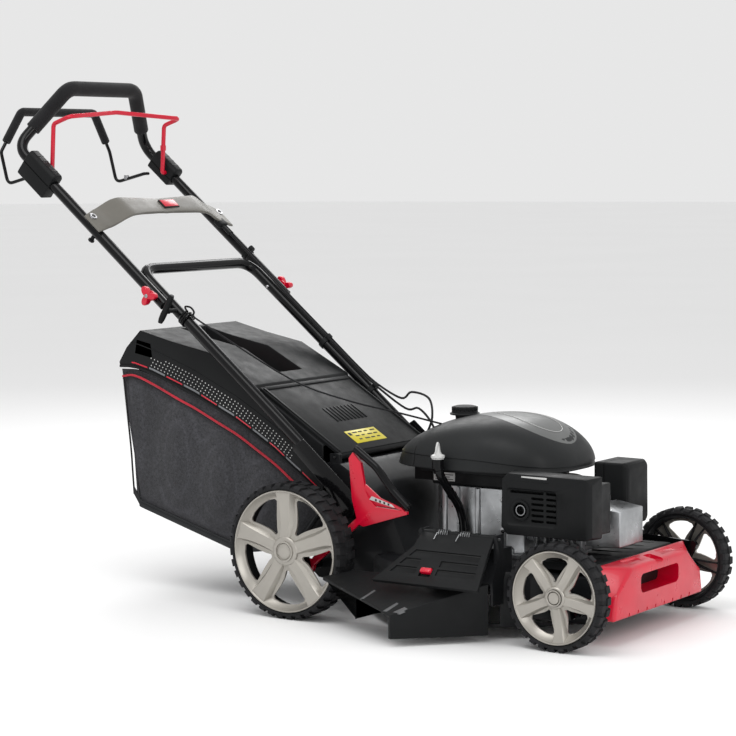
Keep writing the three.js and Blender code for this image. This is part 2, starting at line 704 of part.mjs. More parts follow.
function crankshaft() {
  const shaft = bar('z', SHAFT_R, [SHAFT_LOW, 338], [SHAFT_X, 0, 0], 24);
  const seat = bar('z', 24, [SHAFT_LOW, SHAFT_LOW + 6], [SHAFT_X, 0, 0], 24);
  return cut(join(shaft, seat), bar('z', 5.6, [40, 74], [SHAFT_X, 0, 0], 16));
}

function blade() {
  const half = BLADE_LENGTH / 2;
  const width = BLADE_WIDTH / 2;
  const body = plan([
    [SHAFT_X - half, -width + 8], [SHAFT_X - half + 14, -width], [SHAFT_X + half, -width],
    [SHAFT_X + half, width - 8], [SHAFT_X + half - 14, width], [SHAFT_X - half, width],
  ], [BLADE_Z, BLADE_Z + 5]);
  const lift = (from, to, side) => hull([
    [from, side * (width - 18), BLADE_Z + 2], [to, side * (width - 18), BLADE_Z + 2],
    [from, side * (width - 18), BLADE_Z + 5], [to, side * (width - 18), BLADE_Z + 5],
    [from, side * width, BLADE_Z + 18], [to, side * width, BLADE_Z + 18],
    [from, side * width, BLADE_Z + 15], [to, side * width, BLADE_Z + 15],
  ]);
  const ends = join(lift(SHAFT_X + half - 90, SHAFT_X + half - 18, 1), lift(SHAFT_X - half + 18, SHAFT_X - half + 90, -1));
  return cut(join(body, ends), bar('z', 5.6, [30, 60], [SHAFT_X, 0, 0], 16));
}

function bladeBolt() {
  return join(
    bar('z', 10, [BLADE_Z - FIT - 8, BLADE_Z - FIT], [SHAFT_X, 0, 0], 6),
    bar('z', 5, [BLADE_Z - FIT - 1, 72], [SHAFT_X, 0, 0], 16),
  );
}

function flywheel() {
  const disc = bar('z', 95, [312, 332], [SHAFT_X, 0, 0], 40);
  return cut(disc, bar('z', SHAFT_R + FIT, [300, 340], [SHAFT_X, 0, 0], 24));
}

function enginePulley() {
  const wheel = bar('z', ENGINE_PULLEY_R, PULLEY_Z, [SHAFT_X, 0, 0], 28);
  return cut(wheel, bar('z', SHAFT_R + FIT, [70, 100], [SHAFT_X, 0, 0], 24));
}

function gearboxPulley() {
  return join(
    bar('z', BOX_PULLEY_R, PULLEY_Z, [BOX_X, BOX_Y, 0], 28),
    bar('z', 7, [PULLEY_Z[0], 97 - FIT], [BOX_X, BOX_Y, 0], 16),
  );
}

function gearbox() {
  const half = 33;
  return block([TUNNEL_REAR_X + DECK_WALL + FIT, BOX_X + half], [BOX_Y - half, BOX_Y + half], [97, 152]);
}

// A belt loop round the two pulleys: the outer skin less the inner one.
function driveBelt() {
  const loop = (extra, z0, z1) => {
    const points = [];
    for (const [x, y, radius] of [[SHAFT_X, 0, ENGINE_PULLEY_R], [BOX_X, BOX_Y, BOX_PULLEY_R]]) {
      for (let i = 0; i < 28; i += 1) {
        const angle = (2 * Math.PI * i) / 28;
        const reach = radius + extra;
        points.push([x + reach * Math.cos(angle), y + reach * Math.sin(angle), z0]);
        points.push([x + reach * Math.cos(angle), y + reach * Math.sin(angle), z1]);
      }
    }
    return hull(points);
  };
  return cut(loop(6, 80, 88), loop(0.7, 70, 98));
}

// ---- catcher ------------------------------------------------------------
const flapLine = (x) => 458 - 0.623 * (x + 163);
const RIM_LINE = [
  [-484, 478], [-433, 465], [-364, 441], [-317, 424], [-259, 398], [-205, 374], [-155, 346], [-107, 318],
  [-61, 285], [-35, 268],
];
const CROWN_LINE = [[-158, 455], [-248, 502], [-281, 519], [-379, 538], [-466, 559]];

function lidTray(shrink, drop) {
  const under = (x) => flapLine(x) - 7.1 - FIT - drop;
  const front = CATCHER_FRONT_X + (drop > 0 ? 10 : 0);
  return sideProfile([
    [front, under(front)], [-152, under(-152)],
    ...CROWN_LINE.map(([x, z]) => [x, z - drop]),
    [-505 + drop, 521 - drop], [-526 + drop, 489], [-523 + drop, 477 - drop],
    ...RIM_LINE.map(([x, z]) => [x, z - drop * 4]),
    [front, 232 - drop * 4],
  ], [-CATCHER_HALF + shrink, CATCHER_HALF - shrink]);
}

const POCKET_FLOOR = (x) => 510 - (x + 450) * (85 / 260);

function catcherLid() {
  const pocket = sideProfile([
    [-186, 469], [-248, 499], [-281, 516], [-379, 535], [-458, 554], [-458, POCKET_FLOOR(-458) - 4],
    [-186, POCKET_FLOOR(-186) - 4],
  ], [-46, 46]);
  const recess = sideProfile([
    [-190, 620], [-454, 620], [-454, POCKET_FLOOR(-454)], [-190, POCKET_FLOOR(-190)],
  ], [-42, 42]);
  return cut(join(cut(lidTray(0, 0), lidTray(LID_WALL, LID_WALL)), pocket), recess);
}

function catcherHandle() {
  const [rear, front, leg] = [-428, -212, 16];
  const foot = (x) => POCKET_FLOOR(x) + FIT;
  return sideProfile([
    [rear, foot(rear)], [rear, foot(rear) + 34], [front, foot(front) + 34], [front, foot(front)],
    [front - leg, foot(front - leg)], [front - leg, foot(front - leg) + 20],
    [rear + leg, foot(rear + leg) + 20], [rear + leg, foot(rear + leg)],
  ], [-14, 14]);
}

function bagTrough(shrink, inset) {
  const front = CATCHER_FRONT_X + (inset > 0 ? 10 : 0);
  const raise = inset > 0 ? 30 : -FIT;
  return sideProfile([
    [front, 232 + raise],
    ...RIM_LINE.slice().reverse().map(([x, z]) => [x, z + raise]),
    [-519 + inset, 474 + raise], [-517 + inset, 456], [-499 + inset, 303], [-492 + inset, 203],
    [-473 + inset, 175 + inset], [-224, 104 + inset], [-212, 97 + inset], [-60, 122 + inset],
    [front, 205 + inset],
  ], [-CATCHER_HALF + shrink, CATCHER_HALF - shrink]);
}

function rearFlap() {
  const plate = sideProfile([
    [50, flapLine(50)], [-150, flapLine(-150)], [-150, flapLine(-150) - 7], [40, flapLine(40) - 7],
  ], [-REAR_FLAP_HALF, REAR_FLAP_HALF]);
  const barrel = bar('y', 8, [-REAR_FLAP_HALF, REAR_FLAP_HALF], [REAR_PIN_X, 0, REAR_PIN_Z], 16);
  return cut(join(plate, barrel), bar('y', PIN_R + PIN_PLAY, [-200, 200], [REAR_PIN_X, 0, REAR_PIN_Z], 12));
}

// ---- handle -------------------------------------------------------------
const HOLE_R = TUBE_R + 0.8;
const [KNOB_X, KNOB_Z] = onHandle(KNOB_REACH);

function lowerHandle() {
  const path = [
    handlePoint(-20, 0, -LOWER_HALF), handlePoint(LOWER_REACH, 0, -LOWER_HALF),
    handlePoint(LOWER_REACH, 0, LOWER_HALF), handlePoint(-20, 0, LOWER_HALF),
  ];
  return cut(bentBar(path, TUBE_R, 45, 12, 5), bar('y', 4.4, [-230, 230], [KNOB_X, 0, KNOB_Z], 12));
}

const GRIP_PATH = [
  handlePoint(1090, 0, -UPPER_HALF), handlePoint(1124, 136, -112),
  handlePoint(1124, 136, 112), handlePoint(1090, 0, UPPER_HALF),
];

function upperHandle() {
  const path = [
    handlePoint(UPPER_START, 0, -UPPER_HALF), ...GRIP_PATH, handlePoint(UPPER_START, 0, UPPER_HALF),
  ];
  return cut(bentBar(path, TUBE_R, 42, 12, 5), bar('y', 4.4, [-250, 250], [KNOB_X, 0, KNOB_Z], 12));
}

const mix = (a, b, share) => a.map((value, i) => value + (b[i] - value) * share);

function foamGrip() {
  const ends = (share) => [
    mix(GRIP_PATH[0], GRIP_PATH[1], share), GRIP_PATH[1], GRIP_PATH[2], mix(GRIP_PATH[3], GRIP_PATH[2], share),
  ];
  return cut(bentBar(ends(0.3), FOAM_R, 42, 12, 5), bentBar(ends(0.27), HOLE_R, 42, 12, 5));
}

// A section drawn across the handle (y, lift), carried up it from one reach to another.
function acrossHandle(points, from, to) {
  const shape = new THREE.ExtrudeGeometry(
    outline(points.map(([y, lift]) => [-y, lift])),
    { depth: to - from, bevelEnabled: false },
  );
  const [x, z] = onHandle(from);
  const up = [-Math.cos(HANDLE_ANGLE), 0, Math.sin(HANDLE_ANGLE)];
  const off = [Math.sin(HANDLE_ANGLE), 0, Math.cos(HANDLE_ANGLE)];
  const frame = new THREE.Matrix4().set(
    0, off[0], up[0], x,
    -1, off[1], up[1], 0,
    0, off[2], up[2], z,
    0, 0, 0, 1,
  );
  return solid(shape.applyMatrix4(frame));
}

const CONSOLE_REACH = [786, 866];

function consolePanel() {
  const seat = TUBE_R + 0.5;
  const arch = acrossHandle([
    [-232, seat], [-232, seat + 5], [-196, seat + 14], [-122, 50], [0, 45], [122, 50], [196, seat + 14],
    [232, seat + 5], [232, seat], [196, seat], [120, 42], [0, 37], [-120, 42], [-196, seat],
  ], ...CONSOLE_REACH);
  return arch;
}

function leverHousing(side, from, to) {
  const y = side * UPPER_HALF;
  const body = acrossHandle([
    [y - 17, -36], [y + 17, -36], [y + 17, 18], [y + 10, 26], [y - 10, 26], [y - 17, 18],
  ], from, to);
  const tube = bentBar([handlePoint(from - 20, 0, y), handlePoint(to + 20, 0, y)], HOLE_R, 10, 12);
  return cut(body, tube);
}

const STOP_PIVOT = [-740, 893];
const DRIVE_PIVOT = [-690, 895];
const BAIL_SEAT = UPPER_HALF - 17 - FIT;

const STOP_CORNERS = [[-845, -183, 944], [-838, -122, 1033], [-838, 122, 1033], [-845, 183, 944]];

function stopBail() {
  return bentBar([
    [STOP_PIVOT[0], -BAIL_SEAT, STOP_PIVOT[1]], [STOP_PIVOT[0], -184, STOP_PIVOT[1]], [-826, -183, 873],
    ...STOP_CORNERS,
    [-826, 183, 873], [STOP_PIVOT[0], 184, STOP_PIVOT[1]], [STOP_PIVOT[0], BAIL_SEAT, STOP_PIVOT[1]],
  ], 4, 16, 8, 3);
}

function stopBailFoam() {
  const corners = [[-845, -183, 944], STOP_CORNERS[1], STOP_CORNERS[2], [-845, 183, 944]];
  const path = (share) => {
    return [mix(corners[0], corners[1], share), corners[1], corners[2], mix(corners[3], corners[2], share)];
  };
  return cut(bentBar(path(0.25), 10, 16, 10, 3), bentBar(path(0.22), 4.8, 16, 8, 3));
}

function driveBail() {
  const [x, z] = DRIVE_PIVOT;
  return bentBar([
    [x, -BAIL_SEAT, z], [x, -188, z], [-683, -188, 1003], [-637, -188, 1018], [-666, 0, 1030],
    [-637, 188, 1018], [-683, 188, 1003], [x, 188, z], [x, BAIL_SEAT, z],
  ], 5, 12, 8, 3);
}

function wingKnob(side) {
  const lobes = [];
  for (let i = 0; i < 30; i += 1) {
    const angle = (2 * Math.PI * i) / 30;
    const reach = 15 + 8 * Math.cos(3 * angle);
    lobes.push([KNOB_X + reach * Math.cos(angle), KNOB_Z + reach * Math.sin(angle)]);
  }
  const face = UPPER_HALF + TUBE_R + FIT;
  const span = (a, b) => (side < 0 ? [-b, -a] : [a, b]);
  return join(
    sideProfile(lobes, span(face + 4, face + 20)),
    bar('y', 11, span(face, face + 6), [KNOB_X, 0, KNOB_Z], 16),
    bar('y', 3.8, span(LOWER_HALF - TUBE_R - 4, face + 3), [KNOB_X, 0, KNOB_Z], 12),
  );
}

const GUIDE_REACH = 520;

function starterGrip() {
  const y = -UPPER_HALF - TUBE_R - 10;
  const handleBar = bentBar([handlePoint(534, -24, y), handlePoint(545, 42, y)], 8, 10, 10);
  const stem = bentBar([
    handlePoint(538, 4, y), handlePoint(538, 4, -LOWER_HALF - TUBE_R - FIT),
  ], 5, 10, 8);
  return join(handleBar, stem);
}

const ROPE_R = 2;
const ROPE_END = [233, -61, 386];

function starterRope() {
  return cable([
    handlePoint(GUIDE_REACH, TUBE_R + ROPE_R + 0.6, -LOWER_HALF), handlePoint(GUIDE_REACH - 60, 26, -LOWER_HALF + 2),
    [-60, -178, 474], [70, -166, 436], [160, -104, 408], ROPE_END,
  ], ROPE_R, 14);
}

function cables() {
  const lay = TUBE_R + 5;
  const start = CONSOLE_REACH[0] - 0.5;
  const brake = cable([
    handlePoint(start, lay + 3, 193), handlePoint(700, lay + 3, 193), handlePoint(560, lay, 193),
    handlePoint(400, lay, 193), handlePoint(300, lay, 193), handlePoint(240, lay + 4, 193),
    handlePoint(170, lay + 26, 186), [10, 168, 420], [72, 140, 412], [106, 100, 376], [106, 74, 330],
    [124, 74, 293], [165, 78, 274], [212, 70, 260], [234.5, 60, 255],
  ], 2.5, 40);
  const drive = cable([
    handlePoint(start, lay + 3, 185), handlePoint(700, lay + 3, 185), handlePoint(560, lay, 185),
    handlePoint(400, lay, 185), handlePoint(300, lay, 185), handlePoint(240, lay + 2, 185),
    handlePoint(150, lay + 14, 180), [20, 166, 384], [62, 150, 358], [86, 140, 326], [92, 138, 292],
  ], 2.5, 34);
  return [brake, drive];
}

// ---- the assembly -------------------------------------------------------
const pinY = REAR_FLAP_HALF + 11;
add('deck_shell', deckShell(), DECK_BLACK);
add('front_bumper', frontBumper(), RED);
add('front_cover', frontCover(), PLASTIC_BLACK);
add('handle_bracket_right', handleBracket(-1), DECK_BLACK);
add('handle_bracket_left', handleBracket(1), DECK_BLACK);
add('side_flap_pin', bar('x', PIN_R - 0.2, [OUTLET_X[0] - 3, OUTLET_X[1] + 3], [0, FLAP_PIN_Y, FLAP_PIN_Z], 12), STEEL);
add('rear_flap_pin', bar('y', PIN_R - 0.2, [-pinY, pinY], [REAR_PIN_X, 0, REAR_PIN_Z], 12), STEEL);
add('side_chute', sideChute(), PLASTIC_BLACK);
add('side_flap', sideFlap(), PLASTIC_BLACK);
add('side_flap_latch', flapLatch(), RED);

const REAR_BAR = [REAR_BAR_X, REAR_BAR_Z];
const FRONT_BAR = [FRONT_BAR_X, FRONT_BAR_Z];
const REAR_HUB = [0, REAR_R];
const FRONT_HUB = [WHEELBASE, FRONT_R];
add('rear_axle', crankedAxle(REAR_BAR, REAR_HUB, REAR_OUTER_Y - 5), STEEL);
add('front_axle', crankedAxle(FRONT_BAR, FRONT_HUB, FRONT_OUTER_Y - 5), STEEL);
add('height_link', heightLink(), STEEL);
add('height_lever', heightLever(), RED);
add('height_lever_grip', leverGrip(), PLASTIC_BLACK);
for (const [sideName, side] of [['right', -1], ['left', 1]]) {
  const rear = [REAR_HUB, side, REAR_R, REAR_TYRE_DEPTH, REAR_TYRE_WIDTH, REAR_OUTER_Y];
  const front = [FRONT_HUB, side, FRONT_R, FRONT_TYRE_DEPTH, FRONT_TYRE_WIDTH, FRONT_OUTER_Y];
  add(`rear_tyre_${sideName}`, tyre(...rear), RUBBER);
  add(`rear_rim_${sideName}`, rim(...rear), RIM_SILVER);
  add(`front_tyre_${sideName}`, tyre(...front), RUBBER);
  add(`front_rim_${sideName}`, rim(...front), RIM_SILVER);
}

add('crankcase', crankcase(), ALUMINIUM);
add('cylinder_head', cylinderHead(), ALUMINIUM);
add('muffler_guard', mufflerGuard(), PLASTIC_BLACK);
add('air_filter_box', airFilterBox(), PLASTIC_BLACK);
add('carburettor', carburettor(), ALUMINIUM);
add('fuel_tank', fuelTank(), PLASTIC_BLACK);
add('fuel_cap', fuelCap(), PLASTIC_BLACK);
add('cowl', cowl(), COWL_GREY);
add('dipstick_tube', dipstickTube(), PLASTIC_BLACK);
add('dipstick_cap', dipstickCap(), WHITE);
add('crankshaft', crankshaft(), STEEL);
add('blade', blade(), STEEL);
add('blade_bolt', bladeBolt(), STEEL);
add('flywheel', flywheel(), ALUMINIUM);
add('engine_pulley', enginePulley(), STEEL);
add('gearbox_pulley', gearboxPulley(), STEEL);
add('gearbox', gearbox(), ALUMINIUM);
add('drive_belt', driveBelt(), RUBBER);

add('catcher_lid', catcherLid(), PLASTIC_BLACK);
add('catcher_bag', cut(bagTrough(0, 0), bagTrough(BAG_WALL, BAG_WALL)), FABRIC);
add('catcher_handle', catcherHandle(), RED);
add('rear_flap', rearFlap(), PLASTIC_BLACK);

add('lower_handle', lowerHandle(), TUBE_BLACK);
add('upper_handle', upperHandle(), TUBE_BLACK);
add('foam_grip', foamGrip(), FOAM);
add('console_panel', consolePanel(), GREY);
add('lever_housing_right', leverHousing(-1, 955, 1046), PLASTIC_BLACK);
add('lever_housing_left', leverHousing(1, 972, 1046), PLASTIC_BLACK);
add('stop_bail', stopBail(), TUBE_BLACK);
add('stop_bail_foam', stopBailFoam(), FOAM);
add('drive_bail', driveBail(), RED);
add('knob_right', wingKnob(-1), RED);
add('knob_left', wingKnob(1), RED);
add('starter_grip', starterGrip(), PLASTIC_BLACK);
add('starter_rope', starterRope(), FOAM);
const [brakeCable, driveCable] = cables();
add('brake_cable', brakeCable, FOAM);
add('drive_cable', driveCable, FOAM);

const extent = new THREE.Box3().setFromObject(mower);
mower.position.set(-(extent.min.x + extent.max.x) / 2, -(extent.min.y + extent.max.y) / 2, -extent.min.z);
mower.updateMatrixWorld(true);

export default mower;
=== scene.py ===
"""Walk-behind petrol lawn mower: the finished look, built round the fixed frame.

The file is laid out as an add-on. Run as a script, it registers its classes, calls each
operator in order and checks the result. Lengths are metres. Local places are measured
from the ground below the middle of the rear axle: x forward, y to the left, z up.
"""
import json
import math
import sys

import bpy
from bpy.props import FloatProperty, FloatVectorProperty, IntProperty, PointerProperty
from mathutils import Matrix, Vector
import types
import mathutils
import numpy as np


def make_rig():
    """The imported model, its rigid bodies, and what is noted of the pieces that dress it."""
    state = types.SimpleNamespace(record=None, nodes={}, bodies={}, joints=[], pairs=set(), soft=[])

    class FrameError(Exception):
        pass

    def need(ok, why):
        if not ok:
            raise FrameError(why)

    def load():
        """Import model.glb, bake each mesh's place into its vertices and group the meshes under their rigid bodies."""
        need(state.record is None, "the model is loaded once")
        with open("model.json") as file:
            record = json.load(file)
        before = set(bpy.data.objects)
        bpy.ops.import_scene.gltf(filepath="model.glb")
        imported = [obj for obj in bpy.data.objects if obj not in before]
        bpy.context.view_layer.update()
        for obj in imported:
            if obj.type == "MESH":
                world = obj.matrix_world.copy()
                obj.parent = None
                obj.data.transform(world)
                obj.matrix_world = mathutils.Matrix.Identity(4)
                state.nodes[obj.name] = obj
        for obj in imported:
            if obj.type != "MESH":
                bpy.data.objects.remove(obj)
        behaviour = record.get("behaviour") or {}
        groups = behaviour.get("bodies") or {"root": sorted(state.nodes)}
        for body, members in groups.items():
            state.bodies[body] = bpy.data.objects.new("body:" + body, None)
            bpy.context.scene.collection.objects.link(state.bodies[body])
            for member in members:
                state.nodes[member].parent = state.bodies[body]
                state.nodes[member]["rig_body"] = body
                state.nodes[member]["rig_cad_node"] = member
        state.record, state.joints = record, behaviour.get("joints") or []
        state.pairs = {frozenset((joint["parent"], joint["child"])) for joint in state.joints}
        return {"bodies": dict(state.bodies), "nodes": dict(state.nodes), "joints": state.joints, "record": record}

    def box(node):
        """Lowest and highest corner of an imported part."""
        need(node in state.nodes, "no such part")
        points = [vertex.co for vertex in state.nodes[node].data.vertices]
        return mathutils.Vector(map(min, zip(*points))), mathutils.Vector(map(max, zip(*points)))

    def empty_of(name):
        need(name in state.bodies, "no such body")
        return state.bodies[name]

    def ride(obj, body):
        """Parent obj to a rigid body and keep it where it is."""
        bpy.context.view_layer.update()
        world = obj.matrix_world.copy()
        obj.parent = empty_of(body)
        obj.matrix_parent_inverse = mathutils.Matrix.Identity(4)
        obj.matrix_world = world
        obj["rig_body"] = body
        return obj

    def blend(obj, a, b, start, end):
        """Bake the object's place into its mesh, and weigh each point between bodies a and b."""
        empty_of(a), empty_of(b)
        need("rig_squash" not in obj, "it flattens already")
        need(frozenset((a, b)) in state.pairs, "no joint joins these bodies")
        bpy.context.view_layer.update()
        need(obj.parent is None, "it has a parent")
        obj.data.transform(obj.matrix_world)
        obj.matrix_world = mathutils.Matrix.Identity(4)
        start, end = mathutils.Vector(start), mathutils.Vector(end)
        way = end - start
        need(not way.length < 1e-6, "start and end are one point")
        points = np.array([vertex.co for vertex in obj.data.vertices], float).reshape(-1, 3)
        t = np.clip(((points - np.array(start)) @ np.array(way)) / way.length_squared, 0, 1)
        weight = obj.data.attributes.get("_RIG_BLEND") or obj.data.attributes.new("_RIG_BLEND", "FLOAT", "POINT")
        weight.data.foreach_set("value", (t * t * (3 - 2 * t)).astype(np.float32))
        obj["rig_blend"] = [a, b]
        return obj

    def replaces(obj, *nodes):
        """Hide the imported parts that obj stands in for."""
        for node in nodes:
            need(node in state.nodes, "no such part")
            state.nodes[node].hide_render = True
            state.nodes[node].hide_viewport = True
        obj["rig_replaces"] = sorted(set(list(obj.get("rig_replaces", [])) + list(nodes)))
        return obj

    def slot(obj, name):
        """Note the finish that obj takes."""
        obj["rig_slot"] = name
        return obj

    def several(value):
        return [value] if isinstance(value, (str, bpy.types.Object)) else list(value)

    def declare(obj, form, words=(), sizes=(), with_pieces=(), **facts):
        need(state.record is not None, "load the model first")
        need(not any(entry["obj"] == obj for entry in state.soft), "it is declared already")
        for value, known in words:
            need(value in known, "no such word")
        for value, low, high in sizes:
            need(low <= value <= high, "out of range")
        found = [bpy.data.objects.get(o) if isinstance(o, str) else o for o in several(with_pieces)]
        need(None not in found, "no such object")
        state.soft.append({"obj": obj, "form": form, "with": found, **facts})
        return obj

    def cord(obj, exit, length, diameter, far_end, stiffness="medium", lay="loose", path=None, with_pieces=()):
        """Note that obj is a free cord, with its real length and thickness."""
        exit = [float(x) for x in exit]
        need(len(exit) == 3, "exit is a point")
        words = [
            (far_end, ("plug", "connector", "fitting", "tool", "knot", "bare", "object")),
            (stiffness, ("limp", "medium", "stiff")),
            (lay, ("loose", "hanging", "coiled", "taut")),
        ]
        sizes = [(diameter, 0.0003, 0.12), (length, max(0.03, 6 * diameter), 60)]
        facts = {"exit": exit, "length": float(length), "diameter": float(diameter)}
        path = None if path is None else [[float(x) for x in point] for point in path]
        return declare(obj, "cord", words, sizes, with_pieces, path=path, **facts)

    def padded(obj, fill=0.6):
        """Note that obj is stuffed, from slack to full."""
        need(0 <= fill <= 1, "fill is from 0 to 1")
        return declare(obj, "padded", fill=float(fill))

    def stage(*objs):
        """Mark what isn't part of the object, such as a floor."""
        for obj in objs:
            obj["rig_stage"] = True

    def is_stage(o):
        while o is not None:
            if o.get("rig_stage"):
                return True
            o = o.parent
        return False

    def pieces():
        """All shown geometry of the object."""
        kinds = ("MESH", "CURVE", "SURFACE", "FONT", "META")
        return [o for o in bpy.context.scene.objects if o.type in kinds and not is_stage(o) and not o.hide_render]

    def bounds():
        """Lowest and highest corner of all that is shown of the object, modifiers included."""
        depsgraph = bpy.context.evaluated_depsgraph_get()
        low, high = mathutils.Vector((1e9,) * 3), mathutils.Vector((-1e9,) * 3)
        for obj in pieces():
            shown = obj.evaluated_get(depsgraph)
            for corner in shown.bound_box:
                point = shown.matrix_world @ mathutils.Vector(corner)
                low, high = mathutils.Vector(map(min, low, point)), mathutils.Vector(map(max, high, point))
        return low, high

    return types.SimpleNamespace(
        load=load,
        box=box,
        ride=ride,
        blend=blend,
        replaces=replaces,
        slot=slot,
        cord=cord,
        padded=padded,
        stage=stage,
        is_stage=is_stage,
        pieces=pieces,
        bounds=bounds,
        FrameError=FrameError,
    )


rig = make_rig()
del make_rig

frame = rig.load()
CAD_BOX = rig.bounds()

bl_info = {
    "name": "Lawn mower",
    "version": (1, 0, 0),
    "blender": (4, 5, 0),
    "location": "View3D > Sidebar > Mower",
    "description": "Builds the pieces and finishes of a walk-behind lawn mower",
    "category": "Object",
}


# ---- places ---------------------------------------------------------------
def middle(node):
    low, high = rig.box(node)
    return (low + high) / 2


REAR_HUB = middle("rear_tyre_right")
MID_Y = (REAR_HUB.y + middle("rear_tyre_left").y) / 2
REAR_X = REAR_HUB.x
HANDLE_ANGLE = math.radians(39.5)


def at(x, y, z):
    """A local place as a vector in the frame."""
    return Vector((REAR_X + x, MID_Y + y, z))


def local(point):
    return Vector((point[0] - REAR_X, point[1] - MID_Y, point[2]))


def on_handle(reach, lift, y):
    """A place on the handle: reach runs up along the tubes, lift stands off them."""
    return at(
        0.075 - reach * math.cos(HANDLE_ANGLE) + lift * math.sin(HANDLE_ANGLE),
        y,
        0.262 + reach * math.sin(HANDLE_ANGLE) + lift * math.cos(HANDLE_ANGLE),
    )


# ---- sizes and colours a user can change ------------------------------------
def colour(name, description, default):
    return FloatVectorProperty(
        name=name, description=description, subtype="COLOR", size=4, min=0, max=1, default=(*default, 1)
    )


def length(name, description, default):
    return FloatProperty(name=name, description=description, default=default, min=0, unit="LENGTH")


class MowerColours(bpy.types.PropertyGroup):
    red: colour("Red", "Colour of the bumper, levers and knobs", (0.56, 0.0, 0.022))
    silver: colour("Silver", "Paint of the wheel rims", (0.37, 0.35, 0.315))
    console: colour("Console grey", "Colour of the console panel", (0.125, 0.118, 0.102))
    cowl: colour("Cowl grey", "Colour of the engine cowl", (0.019, 0.020, 0.0205))
    plastic: colour("Plastic black", "Colour of the moulded parts", (0.0095, 0.0100, 0.0105))
    fabric: colour("Bag black", "Colour of the catcher's mesh", (0.016, 0.016, 0.018))


class MowerSizes(bpy.types.PropertyGroup):
    tread_blocks: IntProperty(name="Tread blocks", description="Blocks round a rear tyre", default=36,
                              min=12)
    tube_radius: length("Tube radius", "Outer radius of the handle tubes", 0.012)
    foam_radius: length("Foam radius", "Outer radius of the foam grip", 0.017)
    edge_round: length("Edge rounding", "Usual rounding of a moulded edge", 0.0025)


def colours():
    return bpy.context.scene.mower_colours


def sizes():
    return bpy.context.scene.mower_sizes


# ---- modelling helpers --------------------------------------------------------
def clear_selection():
    if bpy.context.mode != "OBJECT":
        bpy.ops.object.mode_set(mode="OBJECT")
    bpy.ops.object.select_all(action="DESELECT")


def choose(piece):
    clear_selection()
    piece.select_set(True)
    bpy.context.view_layer.objects.active = piece
    return piece


def settle(piece, name):
    """Names the piece and moves its place into its mesh."""
    choose(piece)
    bpy.ops.object.transform_apply(location=True, rotation=True, scale=True)
    piece.name = name
    piece.data.name = name
    return piece


def added(name):
    return settle(bpy.context.object, name)


def block(name, low, high):
    clear_selection()
    low, high = Vector(low), Vector(high)
    bpy.ops.mesh.primitive_cube_add(size=1, location=(low + high) / 2)
    bpy.context.object.scale = high - low
    return added(name)


AXIS_TURNS = {"x": (0, math.pi / 2, 0), "y": (math.pi / 2, 0, 0), "z": (0, 0, 0)}


def drum(name, axis, centre, radius, depth, sides=48, top=None):
    clear_selection()
    bpy.ops.mesh.primitive_cone_add(
        vertices=sides, radius1=radius, radius2=radius if top is None else top,
        depth=depth, location=centre, rotation=AXIS_TURNS[axis],
    )
    return added(name)


def use(piece, kind, **settings):
    """Adds a modifier and applies it."""
    choose(piece)
    modifier = piece.modifiers.new(kind, kind)
    for key, value in settings.items():
        setattr(modifier, key, value)
    bpy.ops.object.modifier_apply(modifier=modifier.name)
    return piece


def rounded(piece, width=None, segments=2, angle=35):
    return use(
        piece, "BEVEL", width=width or sizes().edge_round, segments=segments,
        limit_method="ANGLE", angle_limit=math.radians(angle), harden_normals=False,
    )


def carve(piece, *tools):
    for tool in tools:
        use(piece, "BOOLEAN", operation="DIFFERENCE", object=tool, solver="EXACT")
        bpy.data.objects.remove(tool)
    return piece


def together(name, *pieces):
    clear_selection()
    for piece in pieces:
        piece.select_set(True)
    bpy.context.view_layer.objects.active = pieces[0]
    bpy.ops.object.join()
    return added(name)


def soften(piece, degrees=32):
    choose(piece)
    bpy.ops.object.shade_smooth_by_angle(angle=math.radians(degrees))
    return piece


def shape_from(name, points, faces):
    mesh = bpy.data.meshes.new(name)
    mesh.from_pydata([tuple(p) for p in points], [], faces)
    piece = bpy.data.objects.new(name, mesh)
    bpy.context.scene.collection.objects.link(piece)
    choose(piece)
    bpy.ops.object.mode_set(mode="EDIT")
    bpy.ops.mesh.select_all(action="SELECT")
    bpy.ops.mesh.remove_doubles(threshold=1e-6)
    bpy.ops.mesh.normals_make_consistent(inside=False)
    bpy.ops.object.mode_set(mode="OBJECT")
    return piece


def profile(name, outline, y0, y1):
    """A side outline of local (x, z) places carried across from y0 to y1."""
    count = len(outline)
    points = [at(x, y, z) for y in (y0, y1) for x, z in outline]
    faces = [list(range(count)), list(range(2 * count - 1, count - 1, -1))]
    faces += [[i, (i + 1) % count, count + (i + 1) % count, count + i] for i in range(count)]
    return shape_from(name, points, faces)


def loft(name, rings, closed=True):
    """Skins rings of places that all have the same count, and caps both ends if closed."""
    count = len(rings[0])
    points = [p for ring in rings for p in ring]
    faces = []
    for level in range(len(rings) - 1):
        for i in range(count):
            a, b = level * count + i, level * count + (i + 1) % count
            faces.append([a, b, b + count, a + count])
    if closed:
        faces += [list(range(count))[::-1], [len(points) - count + i for i in range(count)]]
    return shape_from(name, points, faces)


